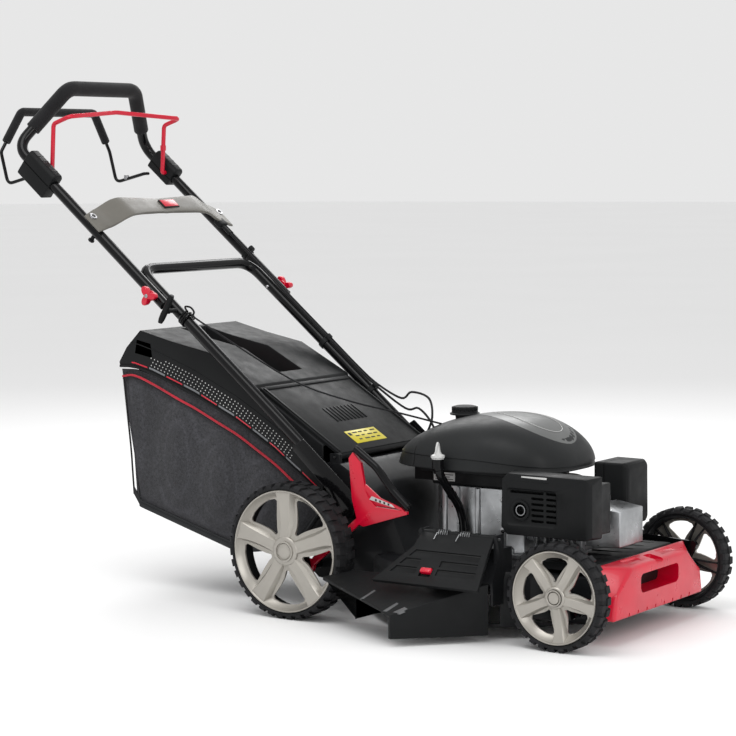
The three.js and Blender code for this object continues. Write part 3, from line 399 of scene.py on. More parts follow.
def rod(name, points, radius, bend=0.0, sides=16, cyclic=False):
    """A round bar along straight runs, with each corner rounded to the bend."""
    curve = bpy.data.curves.new(name, "CURVE")
    curve.dimensions = "3D"
    curve.bevel_depth = radius
    curve.bevel_resolution = max(1, sides // 4 - 1)
    curve.use_fill_caps = True
    route = bent(points, bend) if bend else [Vector(p) for p in points]
    spline = curve.splines.new("POLY")
    spline.points.add(len(route) - 1)
    for knot, place in zip(spline.points, route):
        knot.co = (*place, 1)
    spline.use_cyclic_u = cyclic
    piece = bpy.data.objects.new(name, curve)
    bpy.context.scene.collection.objects.link(piece)
    choose(piece)
    bpy.ops.object.convert(target="MESH")
    piece = bpy.context.object
    choose(piece)
    bpy.ops.object.mode_set(mode="EDIT")
    bpy.ops.mesh.select_all(action="SELECT")
    bpy.ops.mesh.remove_doubles(threshold=1e-6)
    bpy.ops.mesh.normals_make_consistent(inside=False)
    bpy.ops.object.mode_set(mode="OBJECT")
    return soften(piece, 50)


def bent(points, bend, steps=8):
    points = [Vector(p) for p in points]
    route = [points[0]]
    for before, corner, after in zip(points, points[1:], points[2:]):
        back, ahead = before - corner, after - corner
        run = min(bend / math.tan(back.angle(ahead) / 2), 0.48 * min(back.length, ahead.length))
        start, end = corner + back.normalized() * run, corner + ahead.normalized() * run
        for step in range(steps + 1):
            t = step / steps
            route.append((1 - t) ** 2 * start + 2 * t * (1 - t) * corner + t * t * end)
    return route + [points[-1]]


def flowing(points, steps=6):
    """A smooth route through the points."""
    points = [Vector(p) for p in points]
    padded = [2 * points[0] - points[1], *points, 2 * points[-1] - points[-2]]
    route = []
    for i in range(1, len(padded) - 2):
        p0, p1, p2, p3 = padded[i - 1:i + 3]
        for step in range(steps):
            t = step / steps
            route.append(0.5 * (
                2 * p1 + (p2 - p0) * t + (2 * p0 - 5 * p1 + 4 * p2 - p3) * t * t
                + (3 * p1 - p0 - 3 * p2 + p3) * t ** 3
            ))
    return route + [points[-1]]


def copy_of_node(node, name):
    """A merged, flat-faced copy of a frame node to work further on."""
    source = frame["nodes"][node]
    piece = bpy.data.objects.new(name, source.data.copy())
    bpy.context.scene.collection.objects.link(piece)
    choose(piece)
    bpy.ops.object.mode_set(mode="EDIT")
    bpy.ops.mesh.select_all(action="SELECT")
    bpy.ops.mesh.remove_doubles(threshold=2e-5)
    bpy.ops.mesh.dissolve_limited(angle_limit=math.radians(1.5))
    bpy.ops.object.mode_set(mode="OBJECT")
    return piece


def fit(piece, finish, body, slot, *nodes):
    """Gives a finished piece its material, body, slot and the nodes it stands for."""
    piece.data.materials.clear()
    piece.data.materials.append(finish)
    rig.ride(piece, body)
    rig.slot(piece, slot)
    if nodes:
        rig.replaces(piece, *nodes)
    return piece


# ---- finishes -------------------------------------------------------------------
DARK_BASE, DARK_SPECULAR = 0.05, 0.12  # black plastics reflect less than a pale one


def ground(name, base, roughness, metallic=0.0, coat=0.0, sheen=0.0):
    """A material with one Principled shader and its Object coordinates."""
    finish = bpy.data.materials.new(name)
    finish.use_nodes = True
    tree = finish.node_tree
    shader = tree.nodes["Principled BSDF"]
    shader.inputs["Base Color"].default_value = (*base[:3], 1)
    shader.inputs["Roughness"].default_value = roughness
    shader.inputs["Metallic"].default_value = metallic
    shader.inputs["Coat Weight"].default_value = coat
    dark = max(base[:3]) < DARK_BASE and metallic < 0.5
    shader.inputs["Specular IOR Level"].default_value = DARK_SPECULAR if dark else 0.5
    shader.inputs["Sheen Weight"].default_value = sheen
    place = tree.nodes.new("ShaderNodeTexCoord")
    return finish, tree, shader, place.outputs["Object"]


def noise(tree, place, scale, detail=3.0, roughness=0.55):
    node = tree.nodes.new("ShaderNodeTexNoise")
    node.inputs["Scale"].default_value = scale
    node.inputs["Detail"].default_value = detail
    node.inputs["Roughness"].default_value = roughness
    tree.links.new(place, node.inputs["Vector"])
    return node.outputs["Fac"]


def span(tree, value, low, high, to_low, to_high):
    node = tree.nodes.new("ShaderNodeMapRange")
    for key, number in zip(("From Min", "From Max", "To Min", "To Max"), (low, high, to_low, to_high)):
        node.inputs[key].default_value = number
    tree.links.new(value, node.inputs["Value"])
    return node.outputs["Result"]


def blend_colours(tree, factor, first, second):
    node = tree.nodes.new("ShaderNodeMix")
    node.data_type = "RGBA"
    for socket, value in ((node.inputs[6], first), (node.inputs[7], second)):
        if isinstance(value, (tuple, list)):
            socket.default_value = (*value[:3], 1)
        else:
            tree.links.new(value, socket)
    tree.links.new(factor, node.inputs[0])
    return node.outputs[2]


def combine(tree, kind, first, second):
    node = tree.nodes.new("ShaderNodeMath")
    node.operation = kind
    for socket, value in zip(node.inputs, (first, second)):
        if isinstance(value, (int, float)):
            socket.default_value = value
        else:
            tree.links.new(value, socket)
    return node.outputs[0]


def raise_surface(tree, shader, height, distance, strength=1.0):
    node = tree.nodes.new("ShaderNodeBump")
    node.inputs["Distance"].default_value = distance
    node.inputs["Strength"].default_value = strength
    tree.links.new(height, node.inputs["Height"])
    tree.links.new(node.outputs["Normal"], shader.inputs["Normal"])


def tint(base, amount):
    return tuple(min(1.0, channel * amount) for channel in base[:3])


def weathered(tree, shader, place, base, spread, rough_low, rough_high, scale):
    """Slow colour drift and uneven gloss."""
    drift = noise(tree, place, scale, 4)
    shade = blend_colours(tree, span(tree, drift, 0.3, 0.7, 0, 1), tint(base, 1 - spread),
                          tint(base, 1 + spread))
    tree.links.new(shade, shader.inputs["Base Color"])
    gloss = noise(tree, place, scale * 4.3, 3)
    tree.links.new(span(tree, gloss, 0.3, 0.7, rough_low, rough_high), shader.inputs["Roughness"])


def moulded(name, base, rough=(0.38, 0.52), grain=900, depth=0.00012, coat=0.0):
    finish, tree, shader, place = ground(name, base, rough[0], coat=coat)
    weathered(tree, shader, place, base, 0.12, *rough, 9)
    raise_surface(tree, shader, noise(tree, place, grain, 2), depth, 0.6)
    return finish


def lacquered(name, base, rough=(0.16, 0.26), metallic=0.0, coat=0.5):
    finish, tree, shader, place = ground(name, base, rough[0], metallic, coat)
    shader.inputs["Coat Roughness"].default_value = 0.08
    weathered(tree, shader, place, base, 0.08, *rough, 6)
    raise_surface(tree, shader, noise(tree, place, 260, 2), 0.00008, 0.5)
    return finish


def bare_metal(name, base, rough=(0.24, 0.40), grain=(30, 30, 700), depth=0.00006):
    finish, tree, shader, place = ground(name, base, rough[0], 1.0)
    stretch = tree.nodes.new("ShaderNodeMapping")
    stretch.inputs["Scale"].default_value = grain
    tree.links.new(place, stretch.inputs["Vector"])
    weathered(tree, shader, place, base, 0.14, *rough, 14)
    raise_surface(tree, shader, noise(tree, stretch.outputs["Vector"], 1.0, 3), depth, 0.7)
    return finish


def cast_metal(name, base, rough=(0.30, 0.48)):
    finish, tree, shader, place = ground(name, base, rough[0], 0.92)
    weathered(tree, shader, place, base, 0.2, *rough, 22)
    raise_surface(tree, shader, noise(tree, place, 520, 4, 0.7), 0.00022, 0.8)
    return finish


def soft_foam(name, base):
    finish, tree, shader, place = ground(name, base, 0.9, sheen=0.15)
    cells = tree.nodes.new("ShaderNodeTexVoronoi")
    cells.inputs["Scale"].default_value = 620
    tree.links.new(place, cells.inputs["Vector"])
    weathered(tree, shader, place, base, 0.2, 0.8, 0.95, 14)
    raise_surface(tree, shader, cells.outputs["Distance"], 0.0005, 0.7)
    return finish


def tyre_rubber(name, base):
    finish, tree, shader, place = ground(name, base, 0.7)
    dust = noise(tree, place, 34, 5, 0.7)
    shade = blend_colours(tree, span(tree, dust, 0.42, 0.72, 0, 1), base, tint(base, 1.9))
    tree.links.new(shade, shader.inputs["Base Color"])
    tree.links.new(span(tree, dust, 0.3, 0.7, 0.48, 0.78), shader.inputs["Roughness"])
    raise_surface(tree, shader, noise(tree, place, 700, 3), 0.0002, 0.7)
    return finish


def wave(tree, place, direction, scale):
    node = tree.nodes.new("ShaderNodeTexWave")
    node.bands_direction = direction
    node.inputs["Scale"].default_value = scale
    tree.links.new(place, node.inputs["Vector"])
    return node.outputs["Fac"]


def mesh_cloth(name, base, thread=0.0021):
    """Open mesh: two sets of threads with the holes between them drawn darker, as painted shade."""
    finish, tree, shader, place = ground(name, base, 0.8, sheen=0.25)
    scale = 0.314 / thread
    weave = combine(tree, "MAXIMUM", wave(tree, place, "X", scale), wave(tree, place, "Z", scale))
    weave = combine(tree, "MAXIMUM", weave, wave(tree, place, "Y", scale))
    fleck = noise(tree, place, 190, 4, 0.8)
    light = combine(tree, "MULTIPLY", weave, span(tree, fleck, 0.35, 0.75, 0.25, 1))
    drift = span(tree, noise(tree, place, 7, 3), 0.3, 0.7, 0.6, 1)
    light = combine(tree, "MULTIPLY", light, drift)
    # painted shade: the holes between the threads get 0.45 times the bag's black; the flecks and drift are random tone
    tree.links.new(blend_colours(tree, light, tint(base, 0.45), tint(base, 5.2)),
                   shader.inputs["Base Color"])
    raise_surface(tree, shader, weave, 0.0005, 0.8)
    return finish


FINISHES = {}


def make_finishes():
    c = colours()
    black = c.plastic
    FINISHES.update({
        "red": moulded("red_plastic", c.red, (0.26, 0.38), 1100, 0.00008, 0.25),
        "red_gloss": lacquered("red_paint", c.red, (0.30, 0.40), 0, 0.0),
        "silver": lacquered("rim_paint", c.silver, (0.30, 0.40), 0.55, 0.2),
        "console": moulded("console_plastic", c.console, (0.36, 0.46), 1300, 0.0001),
        "cowl": moulded("cowl_plastic", c.cowl, (0.34, 0.46), 1500, 0.0001),
        "cowl_panel": moulded("cowl_panel_film", (0.085, 0.088, 0.086), (0.28, 0.34), 1500, 0.00004),
        "plastic": moulded("black_plastic", black, (0.40, 0.55)),
        # painted light: a lighter copy of the black plastic for the catcher base
        "plastic_light": moulded("worn_black_plastic", tint(black, 2.6), (0.42, 0.58), 700),
        "lid": moulded("lid_plastic", tint(black, 1.15), (0.36, 0.50), 1100, 0.0001),
        "gloss_black": lacquered("tube_paint", (0.004, 0.004, 0.0045), (0.10, 0.17), 0, 0.15),
        "deck": lacquered("deck_paint", (0.010, 0.0105, 0.0115), (0.30, 0.42), 0.0, 0.1),
        "wheel_inner": moulded("wheel_core_plastic", (0.010, 0.010, 0.011), (0.45, 0.6)),
        "foam": soft_foam("grip_foam", (0.012, 0.012, 0.013)),
        "tyre": tyre_rubber("tyre_rubber", (0.014, 0.014, 0.015)),
        "belt": tyre_rubber("belt_rubber", (0.012, 0.012, 0.012)),
        "aluminium": cast_metal("cast_aluminium", (0.40, 0.41, 0.42), (0.26, 0.44)),
        "bright": bare_metal("bright_zinc", (0.40, 0.40, 0.41), (0.22, 0.34)),
        "steel": bare_metal("machined_steel", (0.26, 0.265, 0.27)),
        "cover_face": cast_metal("rocker_cover_face", (0.16, 0.075, 0.058)),
        "cloth": mesh_cloth("bag_mesh", c.fabric),
        "piping": soft_foam("red_piping", (0.42, 0.008, 0.024)),
        "white": moulded("white_plastic", (0.50, 0.50, 0.49), (0.25, 0.35)),
        "yellow": moulded("yellow_film", (0.56, 0.47, 0.006), (0.28, 0.36)),
        # painted highlight: the black chute ribs drawn a lighter grey
        "rib_grey": moulded("chute_rib_plastic", (0.085, 0.087, 0.09), (0.4, 0.5)),
        "ink": moulded("label_ink", (0.02, 0.02, 0.02), (0.4, 0.5)),
        # painted highlight: the black lid trims drawn grey
        "grey_line": moulded("grey_inlay", (0.16, 0.165, 0.175), (0.4, 0.5)),
        "brown_rubber": tyre_rubber("boot_rubber", (0.02, 0.018, 0.017)),
    })


def give(finish, *nodes):
    """Puts a finish on frame nodes that stay as they are."""
    for node in nodes:
        mesh = frame["nodes"][node].data
        mesh.materials.clear()
        mesh.materials.append(FINISHES[finish])


class MOWER_OT_finishes(bpy.types.Operator):
    """Makes the finishes and gives them to the frame's own parts"""

    bl_idname = "mower.finishes"
    bl_label = "Finishes"

    def execute(self, context):
        make_finishes()
        give("plastic", *frame["nodes"])
        give("deck", "deck_shell")
        give("aluminium", "crankcase", "gearbox", "carburettor")
        give("steel", "crankshaft", "blade_bolt", "engine_pulley", "gearbox_pulley", "side_flap_pin",
             "rear_flap_pin")
        give("belt", "drive_belt")
        give("gloss_black", "blade", "rear_axle", "front_axle", "height_link")
        give("foam", "starter_rope")
        return {"FINISHED"}


# ---- stage ----------------------------------------------------------------------
EYE = (2.7057, -3.9207, 0.9047)
LOOK = (0.0118, 0.0, 0.4850)
ROLL = -0.009
LENS = 111.73


def lamp(name, place, aim, size, power, shade=(1, 1, 1)):
    clear_selection()
    bpy.ops.object.light_add(type="AREA", location=place)
    light = bpy.context.object
    light.name = name
    light.data.shape = "RECTANGLE"
    light.data.size, light.data.size_y = size
    light.data.energy = power
    light.data.color = shade
    light.rotation_euler = (Vector(aim) - Vector(place)).to_track_quat("-Z", "Y").to_euler()


class MOWER_OT_stage(bpy.types.Operator):
    """Sets up the camera, the pale floor and the soft lights"""

    bl_idname = "mower.stage"
    bl_label = "Stage"

    def execute(self, context):
        eye, aim = at(*EYE), at(*LOOK)
        back = (eye - aim).normalized()
        right = Vector((0, 0, 1)).cross(back).normalized()
        up = back.cross(right)
        turned_right = math.cos(ROLL) * right + math.sin(ROLL) * up
        turned_up = -math.sin(ROLL) * right + math.cos(ROLL) * up
        clear_selection()
        bpy.ops.object.camera_add(location=eye)
        camera = context.object
        camera.name = "camera"
        camera.rotation_euler = Matrix((turned_right, turned_up, back)).transposed().to_euler()
        camera.data.lens = LENS
        camera.data.sensor_width = 36
        camera.data.clip_end = 60
        context.scene.camera = camera
        context.scene.view_settings.view_transform = "Standard"

        clear_selection()
        bpy.ops.mesh.primitive_plane_add(size=90, location=(0, 0, 0))
        floor = added("floor")
        finish, tree, shader, place = ground("pale_floor", (0.93, 0.93, 0.93), 0.9)
        shade = span(tree, noise(tree, place, 0.6, 2), 0.2, 0.8, 0, 1)
        tree.links.new(
            blend_colours(tree, shade, (0.92, 0.92, 0.92), (0.94, 0.94, 0.94)), shader.inputs["Base Color"]
        )
        floor.data.materials.append(finish)
        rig.stage(floor)

        world = context.scene.world or bpy.data.worlds.new("studio")
        context.scene.world = world
        world.use_nodes = True
        backdrop = world.node_tree.nodes["Background"]
        backdrop.inputs["Color"].default_value = (1, 1, 1, 1)
        backdrop.inputs["Strength"].default_value = 0.80

        lamp("key_light", (0.2, -1.6, 3.4), (0.1, 0.1, 0.4), (2.6, 1.6), 46)
        lamp("side_light", (3.4, -1.2, 1.7), (0.2, 0.0, 0.4), (1.2, 2.4), 30)
        lamp("back_light", (-1.6, 2.6, 2.6), (0.1, 0.1, 0.5), (2.2, 1.4), 38)
        return {"FINISHED"}


# ---- wheels -----------------------------------------------------------------------
def spun(name, ring, centre, steps=72, closed=True):
    """Turns an outline of (radius, y) places round the cross axis through the centre."""
    mesh = bpy.data.meshes.new(name)
    edges = [(i, i + 1) for i in range(len(ring) - 1)]
    if closed:
        edges.append((len(ring) - 1, 0))
    mesh.from_pydata([(centre.x + r, y, centre.z) for r, y in ring], edges, [])
    piece = bpy.data.objects.new(name, mesh)
    bpy.context.scene.collection.objects.link(piece)
    choose(piece)
    bpy.ops.object.mode_set(mode="EDIT")
    bpy.ops.mesh.select_all(action="SELECT")
    bpy.ops.mesh.spin(steps=steps, angle=2 * math.pi, center=centre, axis=(0, 1, 0))
    bpy.ops.mesh.select_all(action="SELECT")
    bpy.ops.mesh.remove_doubles(threshold=1e-6)
    bpy.ops.mesh.normals_make_consistent(inside=False)
    bpy.ops.object.mode_set(mode="OBJECT")
    return piece


def around(centre, radius, angle, y):
    return Vector((centre.x + radius * math.cos(angle), y, centre.z + radius * math.sin(angle)))


def tread_block(name, centre, ring, angle, width, slant):
    """One block: the outline ring of (radius, y) at two angles, leaning with y."""
    rings = []
    for side in (-0.5, 0.5):
        spots = []
        for r, y in ring:
            share = 1.0 if r < ring[1][0] else 0.9
            spots.append(around(centre, r, angle + side * width * share + slant * (y - ring[0][1]), y))
        rings.append(spots)
    return loft(name, rings)


def make_tyre(node, outward, blocks):
    """A tyre with raised shoulder blocks and a lip beside the rim."""
    low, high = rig.box(node)
    centre = (low + high) / 2
    radius, half = (high.z - low.z) / 2, (high.y - low.y) / 2
    tread, lip = 0.0032, radius - 0.0132
    core = radius - tread
    outline = [
        (lip, half - 0.004), (lip + 0.002, half - 0.001), (lip + 0.0055, half - 0.001),
        (lip + 0.007, half - 0.003),
        (core - 0.004, half - 0.0035), (core - 0.0008, half - 0.008), (core, half * 0.4), (core, 0.0),
    ]
    outline += [(r, -y) for r, y in reversed(outline[:-1])]
    body = soften(spun(node + "_body", [(r, centre.y + y) for r, y in outline], centre, 96), 40)
    pieces = [body]
    step = 2 * math.pi / blocks
    for row, side in enumerate((1, -1)):
        ring = [
            (core - 0.0065, side * (half - 0.0030)), (core - 0.0065, side * (half - 0.0002)),
            (core - 0.0005, side * (half - 0.0004)), (radius, side * (half - 0.0045)),
            (radius, side * 0.0035), (core - 0.001, side * 0.0025), (core - 0.001, side * (half - 0.007)),
        ]
        ring = [(r, centre.y + y) for r, y in ring]
        for i in range(blocks):
            angle = (i + 0.5 * row) * step
            pieces.append(tread_block(node + "_block", centre, ring, angle, step * 0.66,
                                      side * 2.6 * 0.0375 / radius))
    tyre = together(node + "_treaded", *pieces)
    return fit(tyre, FINISHES["tyre"], node.replace("tyre", "wheel"), "tyre_rubber", node)


def window(name, centre, inner, outer, half_in, half_out, middle_angle, y0, y1):
    """A prism with rounded ends between two spokes, narrow at the hub."""
    def spot(r, across, y):
        a = middle_angle
        return Vector((
            centre.x + r * math.cos(a) - across * math.sin(a), y,
            centre.z + r * math.sin(a) + across * math.cos(a)
        ))
    corner_r, corner_a, swell = 0.008, 0.006, 7
    tip = outer * math.cos(half_out / outer)

    def flank(t):
        root = inner + half_in
        return root + (tip - root - corner_r) * t, half_in + (half_out - half_in) * t ** 1.25

    edge = []
    for step in range(9):
        turn = (step / 8 - 0.5) * math.pi
        edge.append((inner + half_in - half_in * math.cos(turn), half_in * math.sin(turn)))
    edge += [flank(step / swell) for step in range(1, swell)]
    corner = []
    for step in range(6):
        t = step / 5 * math.pi / 2
        corner.append((tip - corner_r + corner_r * math.sin(t),
                       half_out - corner_a + corner_a * math.cos(t)))
    edge += corner
    rim_angle = (half_out - corner_a) / outer
    for step in range(1, 8):
        a = rim_angle * (1 - 2 * step / 8)
        edge.append((outer * math.cos(a), outer * math.sin(a)))
    edge += [(r, -a) for r, a in reversed(corner)]
    for step in range(swell - 1, 0, -1):
        r, a = flank(step / swell)
        edge.append((r, -a))
    return loft(name, [[spot(r, a, y) for r, a in edge] for y in (y0, y1)])


def make_rim(node, side, first_spoke):
    """A dished silver wheel: five broad spokes, a ringed hub cap and a black core behind."""
    low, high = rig.box(node.replace("rim", "tyre"))
    centre = (low + high) / 2
    outer, half = (high.z - low.z) / 2 - 0.0132, (high.y - low.y) / 2
    face = centre.y + side * half
    inward = -side

    def depth(amount):
        return face + inward * amount

    scale = outer / 0.1243
    shell = [
        (0.0165, depth(0.0075)), (0.026 * scale, depth(0.0080)), (0.036 * scale, depth(0.0125)),
        (0.060 * scale, depth(0.0170)), (0.090 * scale, depth(0.0180)), (outer - 0.0150, depth(0.0170)),
        (outer - 0.0110, depth(0.0130)), (outer - 0.0052, depth(0.0050)), (outer - 0.0034, depth(0.0016)),
        (outer - 0.0016, depth(0.0012)), (outer - 0.0006, depth(0.0026)),
        (outer - 0.0006, depth(0.0150)), (outer - 0.010, depth(0.0200)), (outer - 0.0150, depth(0.0210)),
        (0.060 * scale, depth(0.0210)), (0.030 * scale, depth(0.0190)), (0.0165, depth(0.0190)),
    ]
    disc = spun(node + "_disc", shell, centre, 90)
    spokes = 5
    for i in range(spokes):
        angle = first_spoke + (i + 0.5) * 2 * math.pi / spokes
        carve(disc, window(node + "_window", centre, 0.0400 * scale, outer - 0.0150, 0.0050 * scale,
                           0.0385 * scale, angle, depth(-0.01), depth(0.04)))
    rounded(disc, 0.0014, 2, 30)
    soften(disc, 28)
    arms = []
    for i in range(spokes):
        a = first_spoke + i * 2 * math.pi / spokes
        across = Vector((-math.sin(a), 0, math.cos(a)))
        rings = []
        for r, top, crest, foot in (
            (0.0170, 0.0042, 0.0110, 0.0130), (0.030, 0.0046, 0.0112, 0.0160),
            (0.052, 0.0070, 0.0104, 0.0185),
            (0.078, 0.0074, 0.0112, 0.0192), (0.100, 0.0052, 0.0135, 0.0205),
            (0.1150, 0.0028, 0.0170, 0.0225),
            (0.1206, 0.0022, 0.0182, 0.0232),
        ):
            r = min(r * scale, outer - 0.0034)
            crest, foot = crest * scale, foot * scale
            deep = depth(min(top + 0.0130, 0.0195))
            rings.append([
                around(centre, r, a, deep) - across * foot,
                around(centre, r, a, depth(top + 0.0012)) - across * crest,
                around(centre, r, a, depth(top + 0.0022)) - across * crest * 0.32,
                around(centre, r, a, depth(top + 0.0022)) + across * crest * 0.32,
                around(centre, r, a, depth(top + 0.0012)) + across * crest,
                around(centre, r, a, deep) + across * foot,
            ])
        arm = loft(node + "_spoke", rings)
        arms.append(soften(rounded(arm, 0.0011, 2, 24), 24))
    boss = soften(rounded(spun(node + "_boss", [
        (0.0165, depth(0.0150)), (0.0165, depth(0.0036)), (0.0265 * scale, depth(0.0040)),
        (0.0300 * scale, depth(0.0065)), (0.0315 * scale, depth(0.0150)),
    ], centre, 64), 0.001, 2, 30), 35)
    ring = soften(spun(node + "_ring", [
        (0.0215 * scale, depth(0.0045)), (0.0215 * scale, depth(0.0012)), (0.0200 * scale, depth(0.0006)),
        (0.0183 * scale, depth(0.0012)), (0.0178 * scale, depth(0.0045)),
    ], centre, 48), 60)
    cap = soften(spun(node + "_cap", [
        (0.0, depth(0.0012)), (0.008 * scale, depth(0.0014)), (0.0150 * scale, depth(0.0022)),
        (0.0168 * scale, depth(0.0042)), (0.0168 * scale, depth(0.012)), (0.0, depth(0.012)),
    ], centre, 48, False), 45)
    spoke_face = together(node + "_face", disc, ring, cap, boss, *arms)
    fit(spoke_face, FINISHES["silver"], node.replace("rim", "wheel"), "rim_silver", node)

    back = depth(0.0212)
    inner = centre.y - side * half
    core = spun(node + "_core", [
        (outer - 0.0003, depth(0.0185)), (outer - 0.0003, inner + side * 0.004),
        (outer - 0.0045, inner + side * 0.003),
        (outer - 0.0055, depth(0.030)), (outer - 0.010, depth(0.0225)), (outer - 0.006, depth(0.0200)),
    ], centre, 90)
    hub = spun(node + "_hub", [
        (0.0095, depth(0.0192)), (0.0245 * scale, back), (0.0225 * scale, inner + side * 0.002),
        (0.0185, inner + side * 0.0005), (0.0095, inner + side * 0.0005),
    ], centre, 48)
    ribs = []
    for i in range(spokes):
        angle = first_spoke + i * 2 * math.pi / spokes
        for turn in (-0.13, 0.13):
            a = angle + turn
            near, far = 0.021 * scale, outer - 0.0062
            across = Vector((-math.sin(a), 0, math.cos(a))) * 0.0012
            rings = []
            for r, d in ((near, 0.040), (far, 0.026)):
                top, low_y = depth(0.0212), depth(min(d, 2 * half - 0.004))
                rings.append([
                    around(centre, r, a, top) - across, around(centre, r, a, top) + across,
                    around(centre, r, a, low_y) + across, around(centre, r, a, low_y) - across,
                ])
            ribs.append(loft(node + "_rib", rings))
    inside = together(node + "_inside", core, hub, *ribs)
    soften(inside, 30)
    return fit(inside, FINISHES["wheel_inner"], node.replace("rim", "wheel"), "plastic_black", node)


class MOWER_OT_wheels(bpy.types.Operator):
    """Makes the four treaded tyres and five-spoke wheels"""

    bl_idname = "mower.wheels"
    bl_label = "Wheels"

    def execute(self, context):
        spoke = {"rear": math.radians(91), "front": math.radians(60)}
        for end in ("rear", "front"):
            blocks = sizes().tread_blocks if end == "rear" else round(sizes().tread_blocks * 0.8)
            for side, way in (("right", -1), ("left", 1)):
                make_tyre(f"{end}_tyre_{side}", way, blocks)
                make_rim(f"{end}_rim_{side}", way, spoke[end])
        return {"FINISHED"}


# ---- deck, front and side -----------------------------------------------------------
def slab(low, high, name="slab"):
    """A block between two local corners."""
    return block(name, at(*low), at(*high))


class MOWER_OT_bumper(bpy.types.Operator):
    """Makes the red front bumper with its framed hand slot"""

    bl_idname = "mower.bumper"
    bl_label = "Front bumper"

    def execute(self, context):
        low, high = (local(p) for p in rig.box("front_bumper"))
        face, back, half = high.x - 0.0002, low.x, 0.190
        front_ring = [(-0.112, 0.143), (0.112, 0.143), (0.176, 0.100), (0.186, 0.0485), (-0.186, 0.0485),
                      (-0.176, 0.100)]
        back_ring = [(-half, 0.1518), (half, 0.1518), (half + 0.0076, 0.060), (half, 0.0505),
                     (-half, 0.0505),
                     (-half - 0.0076, 0.060)]
        shell = loft("bumper_shell",
                     [[at(face, y, z) for y, z in front_ring], [at(back, y, z) for y, z in back_ring]])
        rounded(shell, 0.0065, 4, 18)
        slot = (-0.079, 0.079, 0.088, 0.125)
        hole = rounded(slab((back - 0.01, slot[0], slot[2]), (face + 0.02, slot[1], slot[3]), "slot_hole"),
                       0.011, 4, 60)
        notch = rounded(slab((back + 0.014, -0.014, 0.1370), (face + 0.02, 0.014, 0.170), "top_notch"),
                        0.004, 3, 60)
        carve(shell, hole, notch)
        for way in (-1, 1):
            pocket = rounded(slab((back + 0.010, min(way * 0.040, way * 0.100), 0.1462),
                                  (back + 0.030, max(way * 0.040, way * 0.100), 0.170), "top_pocket"),
                                  0.004, 3, 60)
            carve(shell, pocket)
        for i in range(8):
            y = -0.126 + i * 0.036
            carve(shell, rounded(slab((face - 0.0035, y - 0.0022, 0.040),
                                      (face + 0.02, y + 0.0022, 0.0585), "notch"),
                                 0.0018, 2, 60))
        soften(shell, 30)
        fit(together("bumper", shell), FINISHES["red"], "deck", "red", "front_bumper")
        return {"FINISHED"}


class MOWER_OT_deck(bpy.types.Operator):
    """Makes the deck shell, its ribbed front cover and the handle brackets"""

    bl_idname = "mower.deck"
    bl_label = "Deck"

    def execute(self, context):
        deck = soften(rounded(copy_of_node("deck_shell", "deck_body"), 0.004, 3, 28), 32)
        fit(deck, FINISHES["deck"], "deck", "deck_black", "deck_shell")
        cover = soften(rounded(copy_of_node("front_cover", "cover_body"), 0.0035, 3, 25), 30)
        low, high = (local(p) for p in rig.box("front_cover"))
        ribs = []
        for i in range(7):
            y = low.y + 0.040 + i * (high.y - low.y - 0.080) / 6
            ribs.append(soften(rounded(slab((low.x + 0.060, y - 0.002, high.z - 0.012),
                                            (high.x - 0.034, y + 0.002, high.z - 0.0002), "cover_rib"),
                                            0.001), 35))
        fit(together("nose_cover", cover, *ribs), FINISHES["plastic"], "deck", "plastic_black",
            "front_cover")
        for side in ("right", "left"):
            node = f"handle_bracket_{side}"
            bracket = soften(rounded(copy_of_node(node, node + "_body"), 0.002, 2, 30), 32)
            fit(bracket, FINISHES["gloss_black"], "deck", "plastic_black", node)
        return {"FINISHED"}


# ---- side discharge and height lever ----------------------------------------------------
FLAP_LENGTH = math.hypot(0.088, 0.092)


def on_side_flap(x, down, lift):
    """A place on the side flap: down its slope from the hinge, standing off its back face."""
    share = down / FLAP_LENGTH
    return at(x, -0.240 - share * 0.092 - lift * 0.088 / FLAP_LENGTH,
              0.196 - share * 0.088 + lift * 0.092 / FLAP_LENGTH)


def flap_block(name, top, bottom, down, lift, width=0.0008):
    rings = [[on_side_flap(top[0], down[0], h), on_side_flap(top[1], down[0], h),
              on_side_flap(bottom[1], down[1], h), on_side_flap(bottom[0], down[1], h)] for h in lift]
    return soften(rounded(loft(name, rings), width, 2, 40), 35)


